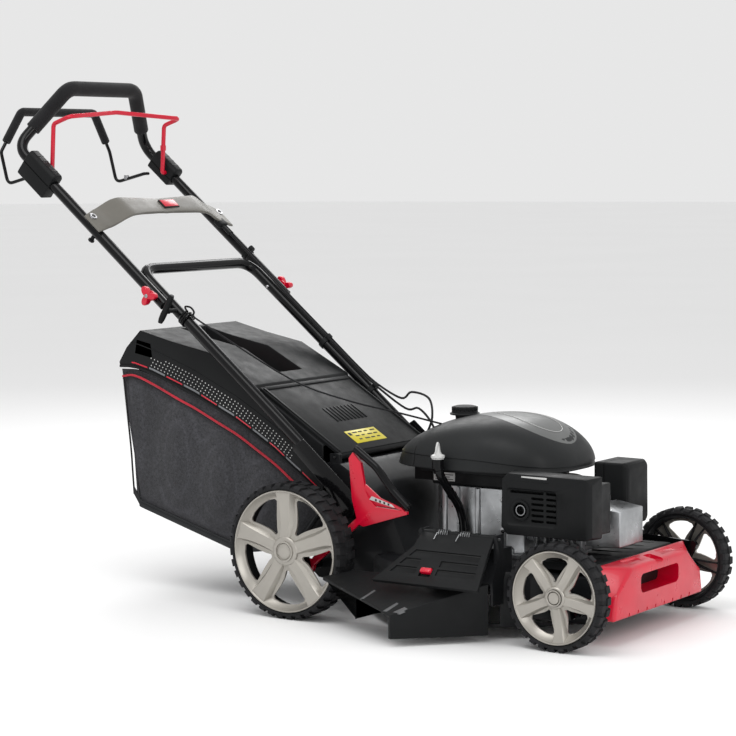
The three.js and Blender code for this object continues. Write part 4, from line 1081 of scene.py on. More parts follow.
class MOWER_OT_side_flap(bpy.types.Operator):
    """Makes the spring flap over the side outlet and its red catch"""

    bl_idname = "mower.side_flap"
    bl_label = "Side flap"

    def execute(self, context):
        body = copy_of_node("side_flap", "flap_body")

        def edges(down):
            t = max(0.0, (down - 0.039) / (FLAP_LENGTH - 0.039))
            return 0.303 - 0.055 * t, 0.471 + 0.015 * t

        for top, bottom, split in ((0.047, 0.063, False), (0.068, 0.083, True), (0.088, 0.103, True)):
            l0, r0 = edges(top)
            l1, r1 = edges(bottom)
            pairs = [((l0 + 0.014, 0.334), (l1 + 0.014, 0.334)), ((0.380, r0 - 0.014), (0.380, r1 - 0.014))]
            if not split:
                pairs = [((l0 + 0.014, r0 - 0.014), (l1 + 0.014, r1 - 0.014))]
            for upper, lower in pairs:
                rings = [[on_side_flap(upper[0], top, h), on_side_flap(upper[1], top, h),
                          on_side_flap(lower[1], bottom, h), on_side_flap(lower[0], bottom, h)]
                         for h in (0.0042, 0.02)]
                carve(body, loft("panel", rings))
        soften(rounded(body, 0.0011, 2, 30), 30)
        parts = [body]
        slots = []
        for top, split in ((0.0470, False), (0.0680, True), (0.0880, True)):
            l0, r0 = edges(top)
            runs = [(l0 + 0.014, 0.334), (0.380, r0 - 0.014)] if split else [(l0 + 0.014, r0 - 0.014)]
            for a, b in runs:
                slots.append(flap_block("slot", (a, b), (a - 0.0008, b), (top, top + 0.0030),
                                        (0.0036, 0.0046), 0.0002))
        parts.append(flap_block("catch_guide", (0.3385, 0.3435), (0.3385, 0.3435), (0.070, 0.112),
                                (0.002, 0.0068), 0.0008))
        parts.append(flap_block("catch_guide", (0.3705, 0.3755), (0.3705, 0.3755), (0.070, 0.112),
                                (0.002, 0.0068), 0.0008))
        fit(together("outlet_flap", *parts), FINISHES["plastic"], "side_flap", "plastic_black", "side_flap")
        fit(together("outlet_flap_slots", *slots), FINISHES["ink"], "side_flap", "plastic_black")
        catch = flap_block("catch", (0.3445, 0.3695), (0.3445, 0.3695), (0.0883, 0.0997), (0.0008, 0.0108),
                           0.0028)
        ridge = [flap_block("ridge", (0.3465 + i * 0.005, 0.3485 + i * 0.005),
                            (0.3465 + i * 0.005, 0.3485 + i * 0.005),
                            (0.0903, 0.0977), (0.0095, 0.0109), 0.0004) for i in range(5)]
        fit(together("flap_catch", catch, *ridge), FINISHES["red"], "side_flap_latch", "red",
            "side_flap_latch")
        springs, clamps = [], []
        for x in (0.342, 0.392):
            turns = []
            for i in range(72):
                a = 2 * math.pi * 5 * i / 71
                turns.append(at(x + 0.024 * i / 71, -0.240 + 0.0088 * math.cos(a),
                                0.196 + 0.0088 * math.sin(a)))
            springs.append(rod("spring", turns, 0.0011, 0, 8))
            springs.append(rod("spring_leg",
                               [on_side_flap(x, 0.004, 0.0095), on_side_flap(x - 0.002, 0.020, 0.0080)],
                               0.0010, 0, 8))
        fit(together("flap_springs", *springs), FINISHES["steel"], "side_flap", "steel")
        for x in (0.302, 0.331, 0.381, 0.428, 0.462):
            clamps.append(soften(rounded(drum("knuckle", "x", at(x, -0.240, 0.196), 0.0078, 0.010, 28),
                                         0.001), 40))
        fit(together("flap_knuckles", *clamps), FINISHES["plastic"], "side_flap", "plastic_black")
        return {"FINISHED"}


class MOWER_OT_chute(bpy.types.Operator):
    """Makes the side discharge chute with its raised ribs"""

    bl_idname = "mower.chute"
    bl_label = "Side chute"

    def execute(self, context):
        body = soften(rounded(copy_of_node("side_chute", "chute_body"), 0.0022, 3, 25), 30)

        def top(x, y, lift):
            """A place on the chute's top, which falls outwards and to the rear."""
            front = 0.112 + (y + 0.265) * 0.050 / 0.135
            rear = 0.100 - (0.330 * (x - 0.108) - 4.664 * (y + 0.304)) / 13.728
            return at(x, y, min(front, rear) + lift)

        # The ribs are black plastic; their lighter grey finish is painted highlight.
        lights = []
        for x0, y0, x1, y1, wide in ((0.223, -0.270, 0.177, -0.3325, 0.0042),
                                     (0.262, -0.275, 0.240, -0.3600, 0.0042),
                                     (0.338, -0.300, 0.3135, -0.3905, 0.0050),
                                     (0.385, -0.300, 0.3390, -0.3900, 0.0085)):
            rings = []
            for step in range(9):
                t = step / 8
                x, y = x0 + (x1 - x0) * t, y0 + (y1 - y0) * t
                rings.append([top(x - wide, y, -0.002), top(x + wide, y, -0.002),
                              top(x + wide * 0.8, y, 0.0014),
                              top(x - wide * 0.8, y, 0.0014)])
            lights.append(soften(rounded(loft("chute_rib", rings), 0.0006, 2, 50), 40))
        fit(together("discharge_chute", body), FINISHES["plastic"], "side_chute", "plastic_black",
            "side_chute")
        fit(together("chute_ribs", *lights), FINISHES["rib_grey"], "side_chute", "plastic_black")
        return {"FINISHED"}


class MOWER_OT_lever(bpy.types.Operator):
    """Makes the red height lever, its black grip and its label"""

    bl_idname = "mower.lever"
    bl_label = "Height lever"

    def execute(self, context):
        lever = soften(rounded(copy_of_node("height_lever", "lever_body"), 0.0022, 3, 30), 32)
        fit(together("height_lever_arm", lever), FINISHES["red"], "rear_axle", "red", "height_lever")
        path = [at(0.125, -0.212, 0.3453), at(0.176, -0.212, 0.311), at(0.214, -0.212, 0.267),
                at(0.251, -0.212, 0.2353)]
        grip = rod("lever_handle", path, 0.0079, 0.060, 22)
        grip = soften(rounded(grip, 0.0024, 3, 60), 50)
        fit(together("height_lever_handle", grip), FINISHES["gloss_black"], "rear_axle", "plastic_black",
            "height_lever_grip")
        web = profile("lever_web",
                      [(0.140, 0.262), (0.176, 0.2335), (0.222, 0.2325), (0.246, 0.226), (0.236, 0.2345),
                                    (0.186, 0.2500), (0.150, 0.2760)], -0.2150, -0.2100)
        fit(soften(together("height_lever_web", rounded(web, 0.0014, 2, 30)), 35), FINISHES["red"],
            "rear_axle", "red")
        film = profile("lever_label",
                       [(0.160, 0.2460), (0.2205, 0.2335), (0.2140, 0.2400), (0.166, 0.2530)],
                       -0.2155, -0.2149)
        fit(soften(together("lever_scale", film), 35), FINISHES["white"], "rear_axle", "white")
        marks = [profile("mark", [(0.174 + i * 0.010, 0.2440 - i * 0.0021),
                                  (0.178 + i * 0.010, 0.2432 - i * 0.0021),
                                  (0.178 + i * 0.010, 0.2475 - i * 0.0021),
                                  (0.174 + i * 0.010, 0.2483 - i * 0.0021)],
                         -0.2158, -0.2152) for i in range(4)]
        fit(soften(together("lever_scale_marks", *marks), 35), FINISHES["ink"], "rear_axle",
            "plastic_black")
        return {"FINISHED"}


# ---- engine -------------------------------------------------------------------------
COWL_REAR, COWL_FRONT, COWL_HALF = 0.1285, 0.5215, 0.1495
COWL_LOW, COWL_TOP = 0.3062, 0.4095
CROWN_X, CREST_X = 0.330, 0.368


def signed_power(value, power):
    return math.copysign(abs(value) ** power, value)


def cowl_place(angle, level, inset=0.0):
    """A place on the cowl's dome: angle round its outline, level from skirt to crown."""
    c, s = signed_power(math.cos(angle), 0.72), signed_power(math.sin(angle), 0.72)
    narrowing = max(0.0, 1 - level ** 2.6) ** (1 / 2.6) * 0.985 + 0.015 * (1 - level)
    run = COWL_FRONT - CROWN_X if c > 0 else CROWN_X - COWL_REAR
    x = CROWN_X + c * (run - inset) * narrowing
    if x < CREST_X:
        slope = 0.42 * ((CREST_X - x) / 0.240) ** 2
    else:
        slope = 0.30 * ((x - CREST_X) / 0.154) ** 2
    z = COWL_LOW + (COWL_TOP - COWL_LOW - inset) * level * (1 - slope)
    return at(x, s * (COWL_HALF - inset) * narrowing, z)


def cowl_crease(angle):
    """Height share of the crease that runs down along the side towards the front."""
    forward = (math.cos(angle) + 1) / 2
    return 0.40 - 0.27 * forward ** 0.8


def cowl_shell():
    count = 120
    rings = []
    steps = 22
    angles = [2 * math.pi * i / count for i in range(count)]
    rings.append([cowl_place(a, 0, 0.004) for a in angles])
    rings.append([cowl_place(a, 0, 0.0008) for a in angles])
    rings.append([cowl_place(a, 0.02, 0.0) for a in angles])
    for part in (0.5, 0.93):
        rings.append([cowl_place(a, cowl_crease(a) * part, 0.0016) for a in angles])
    rings.append([cowl_place(a, cowl_crease(a), 0.0) for a in angles])
    for step in range(1, steps):
        t = step / steps
        rings.append([cowl_place(a, cowl_crease(a) + (1 - cowl_crease(a)) * math.sin(t * math.pi / 2),
                                 0) for a in angles])
    rings.append([cowl_place(a, 0.9996, 0) for a in angles])
    return soften(loft("cowl_shell", rings), 16)


def cowl_patch(name, outline, lift, thickness):
    """A film laid on the cowl's top: (x, y) places raised to the surface."""
    rings = []
    centre_x = sum(p[0] for p in outline) / len(outline)
    centre_y = sum(p[1] for p in outline) / len(outline)
    for share in (1.0, 0.85, 0.7, 0.55, 0.4, 0.25, 0.1):
        rings.append([
            cowl_top(centre_x + (x - centre_x) * share, centre_y + (y - centre_y) * share, lift) for x,
            y in outline
        ])
    low = [p - Vector((0, 0, thickness)) for p in rings[0]]
    return soften(loft(name, [low] + rings), 30)


def cowl_top(x, y, lift):
    """The cowl's surface over a local (x, y), found by halving the level."""
    low, high = 0.0, 0.9999
    target = Vector((x - CROWN_X, y))
    for _ in range(28):
        level = (low + high) / 2
        narrowing = (1 - level ** 2.6) ** (1 / 2.6) * 0.985 + 0.015 * (1 - level)
        run = (COWL_FRONT - CROWN_X if target.x > 0 else CROWN_X - COWL_REAR) * narrowing
        power = 2 / 0.72
        reach = abs(target.x / run) ** power + abs(target.y / (COWL_HALF * narrowing)) ** power
        if reach < 1:
            low = level
        else:
            high = level
    if x < CREST_X:
        slope = 0.42 * ((CREST_X - x) / 0.240) ** 2
    else:
        slope = 0.30 * ((x - CREST_X) / 0.154) ** 2
    return at(x, y, COWL_LOW + (COWL_TOP - COWL_LOW) * low * (1 - slope) + lift)


def teardrop(tail, nose, half, count=40, squareness=0.55):
    """An outline that is pointed at the tail and round at the nose."""
    points = []
    for i in range(count):
        a = 2 * math.pi * i / count
        share = (1 + math.cos(a)) / 2
        points.append((tail + (nose - tail) * share, half * math.sin(a) * share ** squareness))
    return points


class MOWER_OT_cowl(bpy.types.Operator):
    """Makes the engine cowl with its crease, top panel and rope slot"""

    bl_idname = "mower.cowl"
    bl_label = "Engine cowl"

    def execute(self, context):
        shell = cowl_shell()
        well = drum("cap_well", "z", at(0.250, 0, 0.412), 0.030, 0.024, 48)
        slot = rounded(slab((0.186, -0.080, 0.3545), (0.238, -0.046, 0.43), "rope_slot"), 0.012, 4, 60)
        groove = slab((0.2135, -0.158, 0.300), (0.2150, -0.125, 0.352), "seam")
        carve(shell, well, slot, groove)
        soften(shell, 18)
        collar = soften(rounded(spun_z("cap_collar", [(0.0215, 0.4005), (0.0300, 0.4005), (0.0305, 0.4035),
                                                      (0.0290, 0.4045), (0.0215, 0.4045)],
                                                      at(0.250, 0, 0)), 0.0006), 35)
        housing = rounded(slab((0.236, -0.1045, 0.2703), (0.436, 0.1045, 0.3065), "fan_housing"), 0.005, 3,
                          60)
        lip = rounded(slab((0.228, -0.135, 0.2995), (0.446, 0.135, 0.3066), "skirt_lip"), 0.003, 2, 60)
        cowl = together("engine_cowl", shell, collar)
        fit(cowl, FINISHES["cowl"], "deck", "cowl_grey", "cowl")
        under = soften(together("fan_cover", housing, lip), 35)
        fit(under, FINISHES["plastic"], "deck", "plastic_black", "cowl")

        film = cowl_patch("panel_film", teardrop(0.262, 0.498, 0.098), 0.0004, 0.0012)
        fit(together("cowl_panel", film), FINISHES["cowl_panel"], "deck", "cowl_grey")
        border = teardrop(0.318, 0.470, 0.060, 56)
        route = [cowl_top(x, y, 0.0009) for x, y in border]
        fit(rod("panel_line", route, 0.0006, 0, 8, True), FINISHES["white"], "deck", "white")
        return {"FINISHED"}


def spun_z(name, ring, centre, steps=64, closed=True):
    """Turns an outline of (radius, z) places round an upright axis through the centre."""
    mesh = bpy.data.meshes.new(name)
    edges = [(i, i + 1) for i in range(len(ring) - 1)]
    if closed:
        edges.append((len(ring) - 1, 0))
    mesh.from_pydata([(centre.x + r, centre.y, z) for r, z in ring], edges, [])
    piece = bpy.data.objects.new(name, mesh)
    bpy.context.scene.collection.objects.link(piece)
    choose(piece)
    bpy.ops.object.mode_set(mode="EDIT")
    bpy.ops.mesh.select_all(action="SELECT")
    bpy.ops.mesh.spin(steps=steps, angle=2 * math.pi, center=centre, axis=(0, 0, 1))
    bpy.ops.mesh.select_all(action="SELECT")
    bpy.ops.mesh.remove_doubles(threshold=1e-6)
    bpy.ops.mesh.normals_make_consistent(inside=False)
    bpy.ops.object.mode_set(mode="OBJECT")
    return piece


class MOWER_OT_caps(bpy.types.Operator):
    """Makes the knurled fuel cap, the oil filler tube and its winged cap"""

    bl_idname = "mower.caps"
    bl_label = "Fuel and oil caps"

    def execute(self, context):
        low, high = (local(p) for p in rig.box("fuel_cap"))
        centre = middle("fuel_cap")
        top = high.z
        body = spun_z("cap_body", [
            (0.0, top - 0.0008), (0.018, top - 0.0002), (0.0235, top - 0.0016), (0.0250, top - 0.0040),
            (0.0250, top - 0.0085), (0.0240, top - 0.0092), (0.0260, top - 0.0100), (0.0268, top - 0.0122),
            (0.0268, top - 0.0150), (0.0195, top - 0.0152), (0.0195, top - 0.0225), (0.0135, top - 0.0230),
            (0.0135, low.z), (0.0, low.z),
        ], centre, 64, False)
        soften(body, 30)
        grips = []
        for i in range(18):
            angle = 2 * math.pi * i / 18
            spot = Vector((centre.x + 0.0249 * math.cos(angle), centre.y + 0.0249 * math.sin(angle),
                           top - 0.0065))
            grips.append(soften(rounded(drum("cap_grip", "z", spot, 0.0021, 0.0082, 10), 0.0007, 2, 40),
                                40))
        cap = together("fuel_filler_cap", body, *grips)
        fit(cap, FINISHES["plastic"], "fuel_cap", "plastic_black", "fuel_cap")

        tip = middle("dipstick_cap")
        tip.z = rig.box("dipstick_cap")[0].z
        route = flowing([at(0.318, -0.1145, 0.170), at(0.3165, -0.1145, 0.200), at(0.310, -0.1200, 0.232),
                         at(0.298, -0.1440, 0.272), at(0.2915, -0.1600, 0.300),
                         Vector((tip.x, tip.y, tip.z))], 8)
        tube = rod("filler_tube_body", route, 0.0088, 0, 24)
        rings = []
        for share, radius in ((0.52, 0.0098), (0.86, 0.0108), (0.92, 0.0112)):
            i = int(share * (len(route) - 2))
            mid = (route[i] + route[i + 1]) / 2
            way = (route[i + 1] - route[i]).normalized()
            rings.append(rod("filler_ring", [mid - way * 0.0028, mid + way * 0.0028], radius, 0, 24))
        collar = rod("filler_collar",
                     [Vector((tip.x, tip.y, tip.z - 0.017)), Vector((tip.x, tip.y, tip.z - 0.0002))],
                     0.0118, 0, 28)
        tube = together("oil_filler_tube", tube, *rings, collar)
        fit(tube, FINISHES["gloss_black"], "deck", "plastic_black", "dipstick_tube")

        cap = spun_z("oil_cap_body", [
            (0.0, tip.z + 0.026), (0.0030, tip.z + 0.0255), (0.0050, tip.z + 0.0170),
            (0.0080, tip.z + 0.0105),
            (0.0132, tip.z + 0.0080), (0.0139, tip.z + 0.0060), (0.0139, tip.z + 0.0035),
            (0.0120, tip.z + 0.0022),
            (0.0120, tip.z + 0.0004), (0.0, tip.z + 0.0004),
        ], tip, 48, False)
        soften(cap, 35)
        wing = loft("oil_cap_wing", [
            [Vector((tip.x + dx, tip.y + dy, tip.z + z)) for dy, z in (
                (-0.0088, 0.0085), (-0.0070, 0.0215), (-0.0035, 0.0310), (0, 0.0345), (0.0035, 0.0310),
                (0.0070, 0.0215), (0.0088, 0.0085))]
            for dx in (-0.0019, 0.0019)
        ])
        wing = soften(rounded(wing, 0.0009, 2, 40), 40)
        fit(together("oil_filler_cap", cap, wing), FINISHES["white"], "dipstick_cap", "white",
            "dipstick_cap")
        return {"FINISHED"}


def bolt(place, axis, radius, height, way=1, name="bolt"):
    """A hexagon head with a washer, standing out along an axis."""
    direction = {"x": Vector((1, 0, 0)), "y": Vector((0, 1, 0)), "z": Vector((0, 0, 1))}[axis] * way
    place = Vector(place)
    washer = rounded(drum(name, axis, place + direction * height * 0.12, radius * 1.35, height * 0.24, 28),
                     0.0003)
    head = rounded(drum(name, axis, place + direction * height * 0.6, radius, height * 0.8, 6), 0.0005, 2)
    return soften(together(name, washer, head), 32)


class MOWER_OT_engine(bpy.types.Operator):
    """Makes the crankcase, head, rocker cover plate, spark plug, plug boot and lead, and their fixings"""

    bl_idname = "mower.engine"
    bl_label = "Engine"

    def execute(self, context):
        low, high = (local(p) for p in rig.box("crankcase"))
        case = soften(rounded(copy_of_node("crankcase", "case_body"), 0.006, 4, 30), 32)
        parts = [case]
        side = low.y + 0.004
        for i, x in enumerate((0.268, 0.300, 0.345, 0.405)):
            width = 0.0035 if i % 2 else 0.006
            post = rounded(slab((x - width, side - 0.0036, 0.1432), (x + width, side + 0.004, 0.269),
                                "case_post"),
                           0.0028, 3, 50)
            parts.append(soften(post, 40))
        for x in (0.25, 0.29, 0.37, 0.42):
            parts.append(soften(rounded(drum("case_lug", "z", at(x, side + 0.002, 0.1480), 0.0065, 0.0100,
                                             28), 0.001), 35))
        case = together("crankcase_casting", *parts)
        fit(case, FINISHES["aluminium"], "deck", "aluminium", "crankcase")
        bolts = [bolt(at(x, side + 0.002, 0.1530), "z", 0.0042, 0.0048) for x in (0.25, 0.29, 0.37, 0.42)]
        bolts += [bolt(at(0.405, side - 0.0036, z), "y", 0.0042, 0.0046, -1) for z in (0.19, 0.25)]
        fit(together("crankcase_bolts", *bolts), FINISHES["bright"], "deck", "steel")

        fins = soften(rounded(copy_of_node("cylinder_head", "head_body"), 0.0022, 2, 30), 32)
        fit(together("cylinder_head_casting", fins), FINISHES["aluminium"], "deck", "aluminium",
            "cylinder_head")
        plate_low, plate_high = at(0.6405, -0.070, 0.172), at(0.6448, 0.020, 0.207)
        face = soften(rounded(block("rocker_face", plate_low, plate_high), 0.0015, 2, 40), 35)
        fit(together("rocker_cover_plate", face), FINISHES["cover_face"], "deck", "aluminium")
        boots = []
        root = at(0.600, -0.066, 0.2445)
        boot = rod("plug_boot", [root, at(0.598, -0.074, 0.268), at(0.588, -0.080, 0.290)], 0.0095, 0.012,
                   24)
        boots.append(boot)
        boots.append(rod("plug_collar", [at(0.5995, -0.068, 0.2485), at(0.5990, -0.0705, 0.256)], 0.0112,
                         0, 24))
        boots.append(rod("plug_lead", flowing([at(0.588, -0.080, 0.290), at(0.575, -0.078, 0.299),
                                               at(0.545, -0.062, 0.303), at(0.500, -0.040, 0.300)], 6),
                                               0.0034, 0, 12))
        fit(together("plug_boot_and_lead", *boots), FINISHES["brown_rubber"], "deck", "plastic_black")
        plug = rod("spark_plug", [at(0.6005, -0.0655, 0.238), at(0.600, -0.0672, 0.2485)], 0.0078, 0, 6)
        fit(together("spark_plug_body", plug), FINISHES["bright"], "deck", "steel")
        return {"FINISHED"}


class MOWER_OT_guard(bpy.types.Operator):
    """Makes the exhaust guard with its inset grille and outlet"""

    bl_idname = "mower.guard"
    bl_label = "Exhaust guard"

    def execute(self, context):
        shell = rounded(copy_of_node("muffler_guard", "guard_body"), 0.006, 4, 25)
        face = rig.box("muffler_guard")[0].y - MID_Y
        inset = rounded(slab((0.466, face - 0.02, 0.216), (0.580, face + 0.0045, 0.293), "inset"), 0.010,
                        4, 60)
        carve(shell, inset)
        slots = []
        for i in range(6):
            z = 0.2265 + i * 0.0108
            start = 0.520 if i < 5 else 0.474
            slots.append(rounded(slab((start, face - 0.01, z), (0.5475, face + 0.016, z + 0.0052), "slot"),
                                 0.002, 2, 60))
            slots.append(rounded(slab((0.5525, face - 0.01, z), (0.576, face + 0.016, z + 0.0052), "slot"),
                                 0.002, 2, 60))
        carve(shell, together("slots", *slots))
        carve(shell, drum("outlet", "y", at(0.497, face + 0.004, 0.248), 0.0150, 0.03, 48))
        soften(shell, 30)
        ring = soften(spun("outlet_ring", [
            (0.0148, MID_Y + face + 0.012), (0.0148, MID_Y + face + 0.0012),
            (0.0168, MID_Y + face + 0.0002),
            (0.0200, MID_Y + face + 0.0012), (0.0205, MID_Y + face + 0.0058),
            (0.0160, MID_Y + face + 0.012),
        ], at(0.497, 0, 0.248), 48), 35)
        ridge = soften(rounded(slab((0.470, face + 0.0002, 0.3045), (0.560, face + 0.004, 0.3065),
                                    "ridge"), 0.0008), 35)
        guard = together("exhaust_guard", shell, ring, ridge)
        fit(guard, FINISHES["plastic"], "deck", "plastic_black", "muffler_guard")
        pipe = soften(spun("outlet_pipe", [
            (0.0086, MID_Y + face + 0.003), (0.0104, MID_Y + face + 0.003), (0.0104, MID_Y + face + 0.016),
            (0.0086, MID_Y + face + 0.016),
        ], at(0.497, 0, 0.248), 40), 40)
        fit(together("exhaust_outlet", pipe), FINISHES["steel"], "deck", "steel")
        badge = soften(rounded(slab((0.500, face - 0.0001 + 0.0012, 0.3080),
                                    (0.556, face + 0.0035, 0.3145), "badge"),
                               0.0006), 35)
        fit(together("guard_label", badge), FINISHES["white"], "deck", "white")

        low, high = (local(p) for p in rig.box("air_filter_box"))
        box = rounded(copy_of_node("air_filter_box", "filter_body"), 0.009, 4, 25)
        line = slab((low.x + 0.022, low.y - 0.01, low.z - 0.01),
                    (low.x + 0.0236, high.y + 0.01, high.z + 0.01), "line")
        carve(box, line)
        soften(box, 28)
        trims = []
        for i in range(3):
            z = high.z - 0.030 - i * 0.030
            trims.append(soften(rounded(slab((high.x - 0.007, low.y + 0.018, z),
                                             (high.x - 0.0003, high.y - 0.018, z + 0.004),
                                             "trim"), 0.0015), 35))
        clip = rounded(slab((low.x + 0.014, low.y - 0.0001 + 0.004, high.z - 0.006),
                            (low.x + 0.034, low.y + 0.03, high.z - 0.0002), "clip"), 0.002, 2, 50)
        trims.append(soften(clip, 35))
        fit(together("air_filter_housing", box, *trims), FINISHES["plastic"], "deck", "plastic_black",
            "air_filter_box")

        label = soften(rounded(slab((0.242, -0.1062, 0.278), (0.292, -0.1045, 0.296), "label"), 0.0005), 35)
        fit(together("fan_cover_label", label), FINISHES["white"], "deck", "white")
        lines = [slab((0.246, -0.1066, 0.281 + i * 0.0045),
                      (0.288 - 0.008 * (i % 2), -0.1060, 0.2825 + i * 0.0045), "line")
                 for i in range(3)]
        fit(soften(rounded(together("label_lines", *lines), 0.0002, 1)), FINISHES["ink"], "deck",
            "plastic_black")
        return {"FINISHED"}


# ---- grass catcher --------------------------------------------------------------------
BAG_HALF = 0.168


def flap_line(x):
    return 0.458 - 0.623 * (x + 0.163)


def pocket_floor(x):
    return 0.510 - (x + 0.450) * (0.085 / 0.260)


RIM = [(-0.523, 0.477), (-0.484, 0.478), (-0.433, 0.465), (-0.364, 0.441), (-0.317, 0.424), (-0.259, 0.398),
       (-0.205, 0.374), (-0.155, 0.346), (-0.107, 0.318), (-0.061, 0.285), (-0.035, 0.268), (0.012, 0.233)]


def along(points, share):
    """A place part of the way along a line of points."""
    lengths = [math.dist(a, b) for a, b in zip(points, points[1:])]
    target = share * sum(lengths)
    for (a, b), size in zip(zip(points, points[1:]), lengths):
        if target <= size or b is points[-1]:
            t = min(1, target / size)
            return tuple(p + (q - p) * t for p, q in zip(a, b))
        target -= size
    return points[-1]


BAG_SIDE = [(-0.5165, 0.468), (-0.5155, 0.456), (-0.507, 0.380), (-0.4985, 0.303), (-0.4945, 0.245),
            (-0.4915, 0.203),
            (-0.4725, 0.1755), (-0.350, 0.1405), (-0.224, 0.1045), (-0.212, 0.0975), (-0.135, 0.1095),
            (-0.060, 0.1225),
            (0.0125, 0.2055)]


class MOWER_OT_bag(bpy.types.Operator):
    """Makes the sagging mesh bag, its piping and its hard base edge"""

    bl_idname = "mower.bag"
    bl_label = "Catcher bag"

    def execute(self, context):
        top = [(x, z - 0.0035) for x, z in RIM]
        columns, rows = 44, 26
        points, faces = [], []
        for side in (-1, 1):
            base = len(points)
            for i in range(columns + 1):
                u = i / columns
                upper = along(top, u)
                lower = along(BAG_SIDE[6:], u)
                for j in range(rows + 1):
                    v = j / rows
                    x = upper[0] + (lower[0] - upper[0]) * v
                    z = upper[1] + (lower[1] - upper[1]) * v
                    sag = math.sin(math.pi * min(1, v * 1.02)) * math.sin(math.pi * u) ** 0.6
                    fold = 0.0016 * math.sin(9 * u * math.pi + 3.1 * v) * math.sin(math.pi * v)
                    wrinkle = 0.0010 * math.sin(26 * u + 11 * v * v) * (1 - v) ** 2
                    puff = -0.0035 + 0.0075 * sag * (0.35 + 0.65 * v) + fold + wrinkle
                    points.append(at(x, side * (BAG_HALF - 0.004 + puff), z))
            for i in range(columns):
                for j in range(rows):
                    a = base + i * (rows + 1) + j
                    faces.append([a, a + rows + 1, a + rows + 2, a + 1])
        walls = shape_from("bag_sides", points, faces)
        use(walls, "SOLIDIFY", thickness=0.0022, offset=0)
        rear = []
        for j in range(25):
            t = j / 24
            x, z = along(BAG_SIDE[:7], t)
            row = []
            for i in range(25):
                s = -1 + 2 * i / 24
                bulge = 0.006 * math.sin(math.pi * t) * (1 - s * s)
                row.append(at(x - bulge + 0.0020 + 0.006 * s ** 8, s * (BAG_HALF - 0.004), z))
            rear.append(row)
        points = [p for row in rear for p in row]
        faces = [[j * 25 + i, j * 25 + i + 1, (j + 1) * 25 + i + 1, (j + 1) * 25 + i]
                 for j in range(24) for i in range(24)]
        back = shape_from("bag_back", points, faces)
        use(back, "SOLIDIFY", thickness=0.0022, offset=0)
        bag = soften(together("catcher_mesh", walls, back), 60)
        fit(bag, FINISHES["cloth"], "catcher", "bag_fabric", "catcher_bag")

        tray = []
        for side in (-1, 1):
            y = side * (BAG_HALF - 0.0015)
            route = [at(x, y, z + 0.0060) for x, z in BAG_SIDE[6:]]
            edge = rod("base_edge", flowing(route, 5), 0.0055, 0, 12)
            tray.append(edge)
            band = [(x, z) for x, z in BAG_SIDE[5:]]
            upper = [(x, z + 0.016) for x, z in band]
            outline = band + upper[::-1]
            tray.append(rounded(profile("base_band", outline, y - side * 0.0030, y + side * 0.0012),
                                0.0006, 1, 60))
        floor_line = BAG_SIDE[6:]
        outline = floor_line + [(x, z + 0.0035) for x, z in reversed(floor_line)]
        tray.append(rounded(profile("base_floor", outline, -BAG_HALF + 0.002, BAG_HALF - 0.002), 0.0008, 1,
                            60))
        for i in range(6):
            y = -0.125 + 0.05 * i
            line = [(-0.470, 0.1760), (-0.226, 0.1075)]
            tray.append(rounded(profile("base_rib", line + [(x, z + 0.006) for x, z in line[::-1]], y,
                                        y + 0.004), 0.001))
        # the base is black plastic; its lighter copy is painted light
        fit(soften(together("catcher_base", *tray), 35), FINISHES["plastic_light"], "catcher",
            "plastic_black",
            "catcher_bag")

        piping, seams = [], []
        for side in (-1, 1):
            y = side * (BAG_HALF - 0.0008)
            line = [at(x, y, z - 0.016 - 0.010 * min(1, max(0, (x + 0.50) / 0.15))) for x, z in RIM[:-1]]
            line[0] = at(-0.5165, y, 0.458)
            piping.append(rod("side_piping", flowing(line, 6), 0.0026, 0, 10))
            seams.append(rod("side_seam", flowing([p + Vector((0, 0, -0.0052)) for p in line], 6), 0.0010,
                             0, 6))
            edge = [at(x - 0.0004, side * (BAG_HALF - 0.0030), z) for x, z in BAG_SIDE[1:6]]
            seams.append(rod("corner_seam", flowing(edge, 6), 0.0021, 0, 8))
        back_line = [at(-0.5165, y, 0.458) for y in (-BAG_HALF + 0.0008, -0.08, 0, 0.08, BAG_HALF - 0.0008)]
        piping.append(rod("back_piping", back_line, 0.0026, 0, 10))
        fit(together("bag_piping", *piping), FINISHES["piping"], "catcher", "red")
        fit(together("bag_seams", *seams), FINISHES["foam"], "catcher", "bag_fabric")
        return {"FINISHED"}


